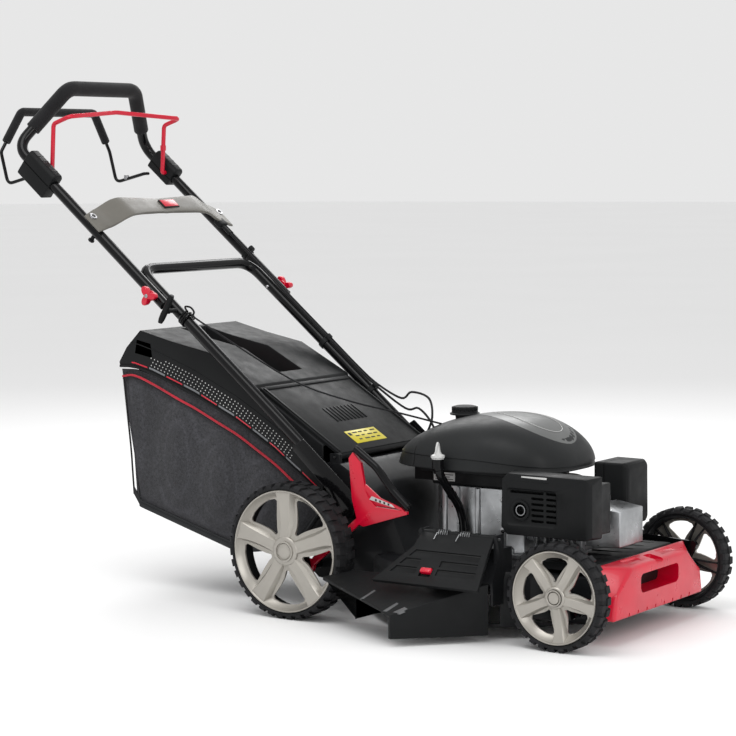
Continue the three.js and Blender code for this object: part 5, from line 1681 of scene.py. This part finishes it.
class MOWER_OT_lid(bpy.types.Operator):
    """Makes the catcher's moulded lid, its vents, trims, reflector and handle"""

    bl_idname = "mower.lid"
    bl_label = "Catcher lid"

    def execute(self, context):
        lid = rounded(copy_of_node("catcher_lid", "lid_body"), 0.0036, 4, 20)
        side = BAG_HALF

        def shelf(lift):
            return [(x, z + lift) for x, z in RIM]

        soften(lid, 26)
        trims = []
        for way in (-1, 1):
            y = way * side
            for start, end, lift, thick, grow in ((0.0, 0.985, 0.0005, 0.0055, 0.0024),
                                                  (0.05, 0.93, 0.0530, 0.0022, 0.0012)):
                line = [along(shelf(lift), start + (end - start) * i / 24) for i in range(25)]
                outline = line + [(x, z + thick) for x, z in reversed(line)]
                ridge = profile("lid_ridge", outline, y - way * 0.003, y + way * grow)
                trims.append(soften(rounded(ridge, 0.0008, 2, 60), 40))
        body = together("lid_moulding", lid, *trims)
        fit(body, FINISHES["lid"], "catcher", "plastic_black", "catcher_lid")

        dots, reds, greys = [], [], []
        for way in (-1, 1):
            y = way * (side + 0.0006)
            for row in range(4):
                for i in range(44):
                    share = 0.150 + 0.70 * (i + 0.5 * (row % 2)) / 44
                    x, z = along(shelf(0.0190 + row * 0.0078), share)
                    if row == 3 and share < 0.22:
                        continue
                    # painted highlights: the vents are black plastic, drawn as white dots
                    spot = drum("vent", "y", at(x, y - way * 0.0010, z), 0.00135, 0.0020, 7)
                    dots.append(spot)
            for i in range(11):
                start, end = 0.055 + i * 0.084, 0.055 + (i + 0.90) * 0.084
                line = [along(shelf(0.0095), start + (end - start) * j / 5) for j in range(6)]
                thick = 0.0030 if i % 2 == 0 else 0.0042
                outline = line + [(x, z + thick) for x, z in reversed(line)]
                dash = profile("dash", outline, y - way * 0.002, y)
                # the odd dashes are black plastic drawn grey: painted highlight
                (reds if i % 2 == 0 else greys).append(rounded(dash, 0.0004, 1, 60))
            reflector = profile("reflector",
                                [(-0.482, 0.5085), (-0.431, 0.4990), (-0.436, 0.5320), (-0.476, 0.5400)],
                                y - way * 0.004, y - way * 0.0006)
            reds.append(rounded(reflector, 0.0012, 2, 40))
        fit(soften(together("lid_vents", *dots), 40), FINISHES["white"], "catcher", "plastic_black")
        fit(soften(together("lid_red_trims", *reds), 30), FINISHES["red"], "catcher", "red")
        fit(soften(together("lid_grey_trims", *greys), 30), FINISHES["grey_line"], "catcher",
            "plastic_black")

        route = []
        for i in range(17):
            t = i / 16
            x = -0.4225 + 0.205 * t
            arch = 0.0150 * math.sin(math.pi * t) ** 0.7
            route.append((x, pocket_floor(x) + 0.0135 + arch))
        rings = []
        for i, (x, z) in enumerate(route):
            fat = 0.0062 if 1 < i < 15 else 0.0074
            rings.append([
                at(x + 0.3 * fat * math.sin(a) * 0.3, 0.0135 * signed_power(math.cos(a), 0.7),
                   z + fat * signed_power(math.sin(a), 0.8))
                for a in (2 * math.pi * k / 20 for k in range(20))
            ])
        grip = soften(loft("grip_bar", rings), 50)
        feet = []
        for x in (-0.4205, -0.2195):
            feet.append(soften(rounded(slab((x - 0.007, -0.0125, pocket_floor(x) + 0.0006),
                                            (x + 0.007, 0.0125, pocket_floor(x) + 0.0165), "foot"), 0.003,
                                            3, 50), 40))
        fit(together("catcher_grip", grip, *feet), FINISHES["red"], "catcher", "red", "catcher_handle")
        return {"FINISHED"}


def on_flap(x, y, lift):
    """A place on the rear flap's upper face."""
    slope = math.atan(0.623)
    return at(x + lift * math.sin(slope), y, flap_line(x) + lift * math.cos(slope))


class MOWER_OT_rear_flap(bpy.types.Operator):
    """Makes the rear flap with its ribs, raised sides and yellow label"""

    bl_idname = "mower.rear_flap"
    bl_label = "Rear flap"

    def execute(self, context):
        body = soften(rounded(copy_of_node("rear_flap", "flap_body"), 0.0028, 3, 25), 30)
        half = 0.160
        parts = [body]

        def raised(x0, x1, y0, y1, up, name="flap_rib", width=0.0012):
            rings = [[on_flap(x, y, lift) for x, y in ((x0, y0), (x1, y0), (x1, y1), (x0, y1))]
                     for lift in (-0.004, up)]
            return soften(rounded(loft(name, rings), width, 2, 40), 35)

        for y in (-half + 0.004, half - 0.010):
            parts.append(raised(-0.146, 0.046, y, y + 0.006, 0.0004 + 0.0024, width=0.0014))
        for i in range(9):
            y = -0.052 + i * 0.013
            parts.append(raised(-0.070, -0.030, y, y + 0.005, 0.0016, width=0.0006))
        parts.append(raised(-0.149, -0.140, -half + 0.012, half - 0.012, 0.0022))
        flap = together("discharge_flap", *parts)
        fit(flap, FINISHES["lid"], "rear_flap", "plastic_black", "rear_flap")
        film = raised(-0.001, 0.034, -0.072, 0.036, 0.0006, "film", 0.0003)
        fit(together("flap_label", film), FINISHES["yellow"], "rear_flap", "white")
        marks = []
        for row in range(3):
            for i in range(4):
                y = -0.052 + i * 0.0215
                x = 0.004 + row * 0.0095
                marks.append(raised(x, x + 0.0030, y, y + 0.0165 - 0.003 * ((i + row) % 3), 0.0009, "mark",
                                    0.0002))
        marks.append(raised(0.004, 0.012, -0.068, -0.058, 0.0009, "mark", 0.0002))
        fit(together("flap_label_marks", *marks), FINISHES["ink"], "rear_flap", "plastic_black")
        return {"FINISHED"}


# ---- handle ---------------------------------------------------------------------------
LOWER_HALF = 0.190
UPPER_HALF = 0.2145
KNOB = (-0.3818, 0.6386)
GRIP_PATH = [(1.090, 0, -UPPER_HALF), (1.124, 0.136, -0.112), (1.124, 0.136, 0.112), (1.090, 0, UPPER_HALF)]


def handle_route(points):
    return [on_handle(*point) for point in points]


def towards(first, second, share):
    return tuple(a + (b - a) * share for a, b in zip(first, second))


class MOWER_OT_tubes(bpy.types.Operator):
    """Makes the two bent handle tubes, their bolts and the foam grip"""

    bl_idname = "mower.tubes"
    bl_label = "Handle tubes"

    def execute(self, context):
        r = sizes().tube_radius - 0.0001
        lower = rod("lower_tube", handle_route([
            (-0.020, 0, -LOWER_HALF), (0.674, 0, -LOWER_HALF), (0.674, 0, LOWER_HALF),
            (-0.020, 0, LOWER_HALF),
        ]), r, 0.045, 24)
        flats = []
        for side in (-1, 1):
            flats.append(soften(rounded(drum("pinch", "y",
                                             at(KNOB[0], side * (LOWER_HALF + 0.0112), KNOB[1]),
                                             0.0090, 0.0016, 28), 0.0004), 40))
        fit(together("lower_handle_tube", lower, *flats), FINISHES["gloss_black"], "deck", "tube_black",
            "lower_handle")
        upper = rod("upper_tube", handle_route([
            (0.560, 0, -UPPER_HALF), *GRIP_PATH, (0.560, 0, UPPER_HALF),
        ]), r, 0.042, 24)
        fit(together("upper_handle_tube", upper), FINISHES["gloss_black"], "upper_handle", "tube_black",
            "upper_handle")
        foam_path = [towards(GRIP_PATH[0], GRIP_PATH[1], 0.3), GRIP_PATH[1], GRIP_PATH[2],
                     towards(GRIP_PATH[3], GRIP_PATH[2], 0.3)]
        foam = rod("foam_sleeve", handle_route(foam_path), sizes().foam_radius - 0.0002, 0.042, 28)
        fit(together("foam_sleeve_piece", rounded(foam, 0.0022, 3, 60)), FINISHES["foam"], "upper_handle",
            "foam_black", "foam_grip")
        soften(bpy.data.objects["foam_sleeve_piece"], 50)
        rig.padded(bpy.data.objects["foam_sleeve_piece"], 1.0)

        bolts = []
        for side in (-1, 1):
            for reach in (0.0, 0.110):
                spot = on_handle(reach, 0, side * (LOWER_HALF + 0.0118))
                bolts.append(soften(rounded(drum("stud", "y", spot, 0.0078, 0.0042, 32), 0.0016, 3), 40))
                bolts.append(soften(rounded(drum("nut", "y", spot + Vector((0, side * 0.0022, 0)), 0.0046,
                                                 0.003, 6),
                                            0.0005), 30))
            spot = on_handle(0.640, 0, side * (UPPER_HALF - 0.0118))
            bolts.append(soften(rounded(drum("stud", "y", spot, 0.0050, 0.0030, 24), 0.001, 2), 40))
        fit(together("handle_bolts", *bolts), FINISHES["bright"], "deck", "steel")
        stud = rod("tube_stud",
                   handle_route([(0.800, -0.0115, -UPPER_HALF), (0.800, -0.0260, -UPPER_HALF)]), 0.0045, 0,
                   16)
        head = rod("tube_stud_head",
                   handle_route([(0.800, -0.0215, -UPPER_HALF), (0.800, -0.0262, -UPPER_HALF)]), 0.0070, 0,
                   6)
        fit(together("console_stud", stud, head), FINISHES["plastic"], "upper_handle", "plastic_black")
        clips = []
        for reach in (0.240, 0.400, 0.700):
            y = LOWER_HALF if reach < 0.6 else UPPER_HALF
            band = rod("clip_band", handle_route([(reach - 0.006, 0, y), (reach + 0.006, 0, y)]), 0.0142,
                       0, 28)
            lug = rod("clip_lug", handle_route([(reach - 0.0055, 0.017, y), (reach + 0.0055, 0.017, y)]),
                      0.0068, 0, 16)
            clips.append((reach, together("clip", rounded(band, 0.0012, 2, 60),
                                          rounded(lug, 0.0012, 2, 60))))
        low = [c for reach, c in clips if reach < 0.6]
        high = [c for reach, c in clips if reach > 0.6]
        fit(soften(together("lower_cable_clips", *low), 40), FINISHES["plastic"], "deck", "plastic_black")
        fit(soften(together("upper_cable_clips", *high), 40), FINISHES["plastic"], "upper_handle",
            "plastic_black")
        return {"FINISHED"}


def across_block(name, outline, reach0, reach1):
    """A section of (y, lift) carried along the handle between two reaches."""
    return loft(name, [[on_handle(reach, lift, y) for y, lift in outline] for reach in (reach0, reach1)])


class MOWER_OT_console(bpy.types.Operator):
    """Makes the grey console saddle with its end screws, badge plate and cable boots"""

    bl_idname = "mower.console"
    bl_label = "Console"

    def execute(self, context):
        seat = 0.0126
        rings = []
        count = 44
        for reach_share in (0.0, 0.03, 0.12, 0.3, 0.5, 0.7, 0.88, 0.97, 1.0):
            top, bottom = [], []
            for i in range(count + 1):
                s = -1 + 2 * i / count
                y = 0.2318 * s
                a = abs(s)
                if a > 0.86:
                    lift = seat + 0.0045 + (1 - a) / 0.14 * 0.0085
                else:
                    t = (0.86 - a) / 0.86
                    ease = min(1, t / 0.40)
                    ease = ease * ease * (3 - 2 * ease)
                    lift = seat + 0.013 + (0.0365 - 0.013) * ease - 0.0045 * max(0, 1 - a / 0.5) ** 1.5
                rise = 1 - 0.06 * (2 * reach_share - 1) ** 8
                top.append((y, seat + (lift - seat) * rise - (0.002 if reach_share in (0.0, 1.0) else 0)))
                under = max(seat, lift - 0.0065)
                bottom.append((y, under))
            waist = []
            for i, (y, lift) in enumerate(top + bottom[::-1]):
                s = abs(y) / 0.2318
                front = 0.779 + 0.028 * (1 - s ** 1.8) + 0.004 * s ** 8
                back = 0.866 - 0.012 * (1 - s ** 2) - 0.030 * max(0, (s - 0.62) / 0.38) ** 1.3
                reach = front + (back - front) * reach_share
                waist.append(on_handle(reach, lift, y))
            rings.append(waist)
        panel = loft("console_shell", rings)
        soften(rounded(panel, 0.0022, 3, 50), 30)
        fit(together("console_saddle", panel), FINISHES["console"], "upper_handle", "console_grey",
            "console_panel")

        def cap(reach, lift, y, radius, height, sides, name):
            return rod(name, handle_route([(reach, lift, y), (reach, lift + height, y)]), radius, 0, sides)

        spots, sockets = [], []
        for y in (-0.2170, 0.2170):
            spots.append(rounded(cap(0.8255, 0.0185, y, 0.0088, 0.0052, 32, "console_bolt"), 0.0014, 3, 50))
            sockets.append(cap(0.8255, 0.0235, y, 0.0048, 0.0006, 24, "socket"))
        fit(soften(together("console_bolts", *spots), 40), FINISHES["bright"], "upper_handle", "steel")
        badge = across_block("badge", [(-0.0010, 0.0420), (0.0460, 0.0430), (0.0460, 0.0500),
                                       (-0.0010, 0.0489)], 0.820, 0.842)
        rim_plate = across_block("badge_rim",
                                 [(-0.0030, 0.0420), (0.0480, 0.0430), (0.0480, 0.0494), (-0.0030, 0.0483)],
                                 0.818, 0.844)
        fit(soften(together("badge_back", rounded(rim_plate, 0.0016, 3, 50), *sockets), 35),
            FINISHES["ink"],
            "upper_handle", "plastic_black")
        fit(soften(together("badge_plate", rounded(badge, 0.001, 2, 50)), 35), FINISHES["red"],
            "upper_handle", "red")
        boots = []
        for y in (0.193, 0.185):
            line = handle_route([(0.800, 0.0195, y), (0.778, 0.0199, y), (0.752, 0.0200, y)])
            boots.append(rod("boot", line[:2], 0.0052, 0, 16))
            boots.append(rod("boot_tip", line[1:], 0.0040, 0, 16))
        boots.append(soften(rounded(across_block("boot_block",
                                                 [(0.176, 0.0128), (0.202, 0.0128), (0.202, 0.0262),
                                                                (0.176, 0.0262)], 0.778, 0.800), 0.003, 3,
                                                                    50), 40))
        fit(together("cable_boots", *boots), FINISHES["plastic"], "upper_handle", "plastic_black")
        return {"FINISHED"}


class MOWER_OT_bails(bpy.types.Operator):
    """Makes both bails, the foam on the stop bail and the cable eyes"""

    bl_idname = "mower.bails"
    bl_label = "Bails"

    def execute(self, context):
        seat = 0.1972
        px, pz = -0.740, 0.893
        stop = [(px, -seat, pz), (px, -0.184, pz), (-0.826, -0.183, 0.873), (-0.845, -0.183, 0.944),
                (-0.838, -0.122, 1.033), (-0.838, 0.122, 1.033), (-0.845, 0.183, 0.944),
                (-0.826, 0.183, 0.873),
                (px, 0.184, pz), (px, seat, pz)]
        bar = rod("stop_bar", [at(*p) for p in stop], 0.0039, 0.016, 14)
        fit(together("stop_bail_bar", bar), FINISHES["gloss_black"], "stop_bail", "tube_black", "stop_bail")
        sleeve = [towards(stop[3], stop[4], 0.25), stop[4], stop[5], towards(stop[6], stop[5], 0.25)]
        foam = rod("stop_sleeve", [at(*p) for p in sleeve], 0.0098, 0.016, 22)
        soften(rounded(foam, 0.0018, 2, 60), 50)
        fit(together("stop_bail_sleeve", foam), FINISHES["foam"], "stop_bail", "foam_black",
            "stop_bail_foam")
        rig.padded(bpy.data.objects["stop_bail_sleeve"], 1.0)

        qx, qz = -0.690, 0.895
        drive = [(qx, -seat, qz), (qx, -0.188, qz), (-0.683, -0.188, 1.003), (-0.637, -0.188, 1.018),
                 (-0.666, 0, 1.030), (-0.637, 0.188, 1.018), (-0.683, 0.188, 1.003), (qx, 0.188, qz),
                 (qx, seat, qz)]
        bar = rod("drive_bar", [at(*p) for p in drive], 0.0049, 0.012, 16)
        flat = [at(*towards(drive[3], drive[4], t)) for t in (0.05, 0.25, 0.5, 0.75, 1.0)]
        flat += [at(*towards(drive[4], drive[5], t)) for t in (0.25, 0.5, 0.75, 0.95)]
        rings = [[p + Vector((dx, 0, dz)) for dx,
                  dz in ((-0.0048, -0.0046), (0.0048, -0.0046), (0.0048, 0.0046),
                                                         (-0.0048, 0.0046))] for p in flat]
        blade = soften(rounded(loft("drive_flat", rings), 0.0012, 2, 50), 40)
        fit(together("drive_bail_bar", bar, blade), FINISHES["red_gloss"], "drive_bail", "red_paint",
            "drive_bail")

        hook = rod("stop_hook", [at(-0.795, 0.1835, 0.8795), at(-0.795, 0.1835, 0.8895)], 0.0058, 0, 14)
        fit(together("stop_cable_eye", hook), FINISHES["bright"], "stop_bail", "steel")
        eye = rod("drive_hook", [at(-0.6865, 0.188, 0.9455), at(-0.6865, 0.188, 0.9575)], 0.0066, 0, 14)
        fit(together("drive_cable_eye", eye), FINISHES["red_gloss"], "drive_bail", "red_paint")

        for side, word, low in ((-1, "right", 0.955), (1, "left", 0.972)):
            node = f"lever_housing_{word}"
            y = side * UPPER_HALF
            parts = []
            foot = -0.0358 if side < 0 else -0.0205
            box = across_block("housing", [(y - 0.0168, foot), (y + 0.0168, foot), (y + 0.0168, 0.0178),
                                           (y + 0.0100, 0.0258), (y - 0.0100, 0.0258),
                                           (y - 0.0168, 0.0178)],
                               low + 0.0002, 1.0458)
            rounded(box, 0.0035, 3, 30)
            gap = across_block("gap", [(y - 0.0178, -0.0042), (y + 0.0178, -0.0042), (y + 0.0178, -0.0012),
                                       (y - 0.0178, -0.0012)], low - 0.01, 1.06)
            inner = across_block("inner", [(y - 0.0150, -0.008), (y + 0.0150, -0.008), (y + 0.0150, 0.004),
                                           (y - 0.0150, 0.004)], low - 0.02, 1.07)
            carve(gap, inner)
            carve(box, gap)
            parts.append(soften(box, 30))
            for i in range(4):
                reach = low + 0.016 + i * 0.017
                parts.append(soften(rounded(across_block("rib", [
                    (y - 0.0100, 0.0245), (y + 0.0100, 0.0245), (y + 0.0100, 0.0259), (y - 0.0100, 0.0259),
                ], reach, reach + 0.005), 0.0005), 35))
            fit(together(f"housing_{word}", *parts), FINISHES["plastic"], "upper_handle", "plastic_black",
                node)
        return {"FINISHED"}


class MOWER_OT_fixings(bpy.types.Operator):
    """Makes the wing knobs, the starter grip and the rope guide"""

    bl_idname = "mower.fixings"
    bl_label = "Knobs and starter grip"

    def execute(self, context):
        for word, side in (("right", -1), ("left", 1)):
            low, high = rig.box(f"knob_{word}")
            outer = low.y if side < 0 else high.y
            face = outer - side * 0.0200
            rings = []
            for depth, grow in ((0.0045, 0.90), (0.0060, 0.97), (0.0145, 1.0), (0.0172, 0.97),
                                (0.0184, 0.86)):
                ring = []
                for i in range(60):
                    angle = 2 * math.pi * i / 60 + math.pi * 0
                    reach = (0.0150 + 0.0078 * math.cos(3 * angle)) * grow
                    centre = at(KNOB[0], 0, KNOB[1])
                    ring.append(Vector((centre.x + reach * math.cos(angle), face + side * depth,
                                        centre.z + reach * math.sin(angle))))
                rings.append(ring)
            wings = soften(loft("wings", rings), 40)
            hub = rounded(drum("hub", "y", Vector((at(KNOB[0], 0, 0).x, face + side * 0.0030, KNOB[1])),
                               0.0110, 0.0058, 32),
                          0.001)
            fit(soften(together(f"wing_knob_{word}", wings, hub), 40), FINISHES["red"], f"knob_{word}",
                "red",
                f"knob_{word}")
            inner = (high.y if side < 0 else low.y)
            shank = block("shank", Vector((at(KNOB[0], 0, 0).x - 0.0037, min(inner, face),
                                           KNOB[1] - 0.0037)),
                          Vector((at(KNOB[0], 0, 0).x + 0.0037, max(inner, face), KNOB[1] + 0.0037)))
            rounded(shank, 0.0034, 4, 60)
            tip = rounded(drum("tip", "y", Vector((at(KNOB[0], 0, 0).x, outer - side * 0.0018, KNOB[1])),
                               0.0044, 0.0034, 24), 0.0012, 3)
            fit(soften(together(f"knob_bolt_{word}", shank, tip), 40), FINISHES["bright"], f"knob_{word}",
                "steel")

        y = -UPPER_HALF - 0.022
        line = [on_handle(0.534 + 0.011 * t, -0.024 + 0.066 * t, y) for t in (0, 0.12, 0.3, 0.5, 0.7, 0.88,
            1)]
        rings = []
        way = (line[-1] - line[0]).normalized()
        across = Vector((0, 1, 0))
        third = way.cross(across)
        for spot, fat in zip(line, (0.0052, 0.0072, 0.0078, 0.0068, 0.0078, 0.0072, 0.0052)):
            rings.append([spot + across * fat * math.cos(a) + third * fat * 0.86 * math.sin(a)
                          for a in (2 * math.pi * k / 24 for k in range(24))])
        handle = soften(loft("starter_bar", rings), 50)
        stem = rod("starter_stem", handle_route([(0.538, 0.004, y), (0.538, 0.004, -LOWER_HALF - 0.0123)]),
                   0.0048, 0, 16)
        collar = rod("starter_collar",
                     handle_route([(0.538, 0.004, y + 0.006), (0.538, 0.004, y + 0.012)]), 0.0062, 0, 16)
        fit(together("starter_handle", handle, stem, collar), FINISHES["plastic"], "starter_grip",
            "plastic_black",
            "starter_grip")
        turns = []
        for i in range(64):
            a = 2 * math.pi * 3 * i / 63
            turns.append(on_handle(0.504 + 0.016 * i / 63, 0.0150 * math.cos(a) + 0.002,
                                   -LOWER_HALF + 0.0150 * math.sin(a)))
        coil = rod("guide_coil", turns, 0.0021, 0, 8)
        loop = rod("guide_loop", flowing(handle_route([
            (0.520, 0.0150, -LOWER_HALF), (0.526, 0.024, -LOWER_HALF - 0.008),
            (0.518, 0.029, -LOWER_HALF - 0.002),
            (0.508, 0.024, -LOWER_HALF + 0.004), (0.504, 0.0150, -LOWER_HALF),
        ]), 6), 0.0021, 0, 8)
        fit(together("rope_guide", coil, loop), FINISHES["gloss_black"], "deck", "steel")
        return {"FINISHED"}


# ---- cables -----------------------------------------------------------------------
def route_length(route):
    return sum((b - a).length for a, b in zip(route, route[1:]))


def line(name, points, radius, node, stiffness, bend=None):
    """A cable or rope on one smooth curve, declared with its own length."""
    route = flowing(points, 6)
    piece = soften(rod(name, route, radius, 0, 12), 60)
    piece.data.materials.clear()
    piece.data.materials.append(FINISHES["foam"])
    if bend:
        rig.blend(piece, "deck", "upper_handle", *bend)
    else:
        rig.ride(piece, "deck")
    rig.slot(piece, "foam_black")
    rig.replaces(piece, node)
    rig.cord(piece, route[0], route_length(route), radius * 2, "object", stiffness, "hanging", route)
    return piece


class MOWER_OT_cables(bpy.types.Operator):
    """Makes the two control cables and the starter rope"""

    bl_idname = "mower.cables"
    bl_label = "Cables"

    def execute(self, context):
        lay = 0.017
        start = 0.7855
        brake = [on_handle(start, lay + 0.003, 0.193), on_handle(0.700, lay + 0.003, 0.193),
                 on_handle(0.560, lay, 0.193), on_handle(0.400, lay, 0.193), on_handle(0.300, lay, 0.193),
                 on_handle(0.240, lay + 0.004, 0.193), on_handle(0.170, lay + 0.026, 0.186)]
        brake += [at(*p) for p in ((0.010, 0.168, 0.420), (0.072, 0.140, 0.412), (0.106, 0.100, 0.376),
                                   (0.106, 0.074, 0.330), (0.124, 0.074, 0.293), (0.165, 0.078, 0.274),
                                   (0.212, 0.070, 0.260), (0.2345, 0.060, 0.255))]
        drive = [on_handle(start, lay + 0.003, 0.185), on_handle(0.700, lay + 0.003, 0.185),
                 on_handle(0.560, lay, 0.185), on_handle(0.400, lay, 0.185), on_handle(0.300, lay, 0.185),
                 on_handle(0.240, lay + 0.002, 0.186), on_handle(0.150, lay + 0.014, 0.190)]
        drive += [at(*p) for p in ((0.020, 0.180, 0.384), (0.062, 0.164, 0.358), (0.088, 0.146, 0.326),
                                   (0.092, 0.138, 0.292))]
        for name, points, node in (("brake_line", brake, "brake_cable"),
                                   ("drive_line", drive, "drive_cable")):
            line(name, points, 0.0025, node, "medium",
                 (on_handle(0.560, lay, 0.189), on_handle(0.700, lay, 0.189)))
        rope = [on_handle(0.520, 0.0146, -0.190), on_handle(0.460, 0.026, -0.188)]
        rope += [at(*p) for p in ((-0.060, -0.178, 0.474), (0.070, -0.166, 0.436), (0.160, -0.104, 0.408),
                                  (0.233, -0.061, 0.386))]
        line("starter_line", rope, 0.0020, "starter_rope", "limp")
        return {"FINISHED"}


# ---- panel and start --------------------------------------------------------------
OPERATORS = [cls for cls in list(globals().values())
             if isinstance(cls, type) and issubclass(cls, bpy.types.Operator)]


class MOWER_PT_panel(bpy.types.Panel):
    """Lists the mower's pieces in the sidebar"""

    bl_idname = "MOWER_PT_panel"
    bl_label = "Mower"
    bl_space_type = "VIEW_3D"
    bl_region_type = "UI"
    bl_category = "Mower"

    def draw(self, context):
        layout = self.layout
        for group in (context.scene.mower_colours, context.scene.mower_sizes):
            for key in group.__annotations__:
                layout.prop(group, key)
        for cls in OPERATORS:
            layout.operator(cls.bl_idname)


def register():
    for cls in (MowerColours, MowerSizes, *OPERATORS, MOWER_PT_panel):
        bpy.utils.register_class(cls)
    bpy.types.Scene.mower_colours = PointerProperty(type=MowerColours)
    bpy.types.Scene.mower_sizes = PointerProperty(type=MowerSizes)


def unregister():
    del bpy.types.Scene.mower_sizes
    del bpy.types.Scene.mower_colours
    for cls in (MOWER_PT_panel, *reversed(OPERATORS), MowerSizes, MowerColours):
        bpy.utils.unregister_class(cls)


def main():
    register()
    for cls in OPERATORS:
        group, name = cls.bl_idname.split(".")
        if getattr(getattr(bpy.ops, group), name)() != {"FINISHED"}:
            raise RuntimeError(f"{cls.bl_label} did not finish")
    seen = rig.bounds()
    with open("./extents.json", "w") as file:
        json.dump({"cad": [list(v) for v in CAD_BOX], "visual": [list(v) for v in seen]}, file)


if __name__ == "__main__":
    main()
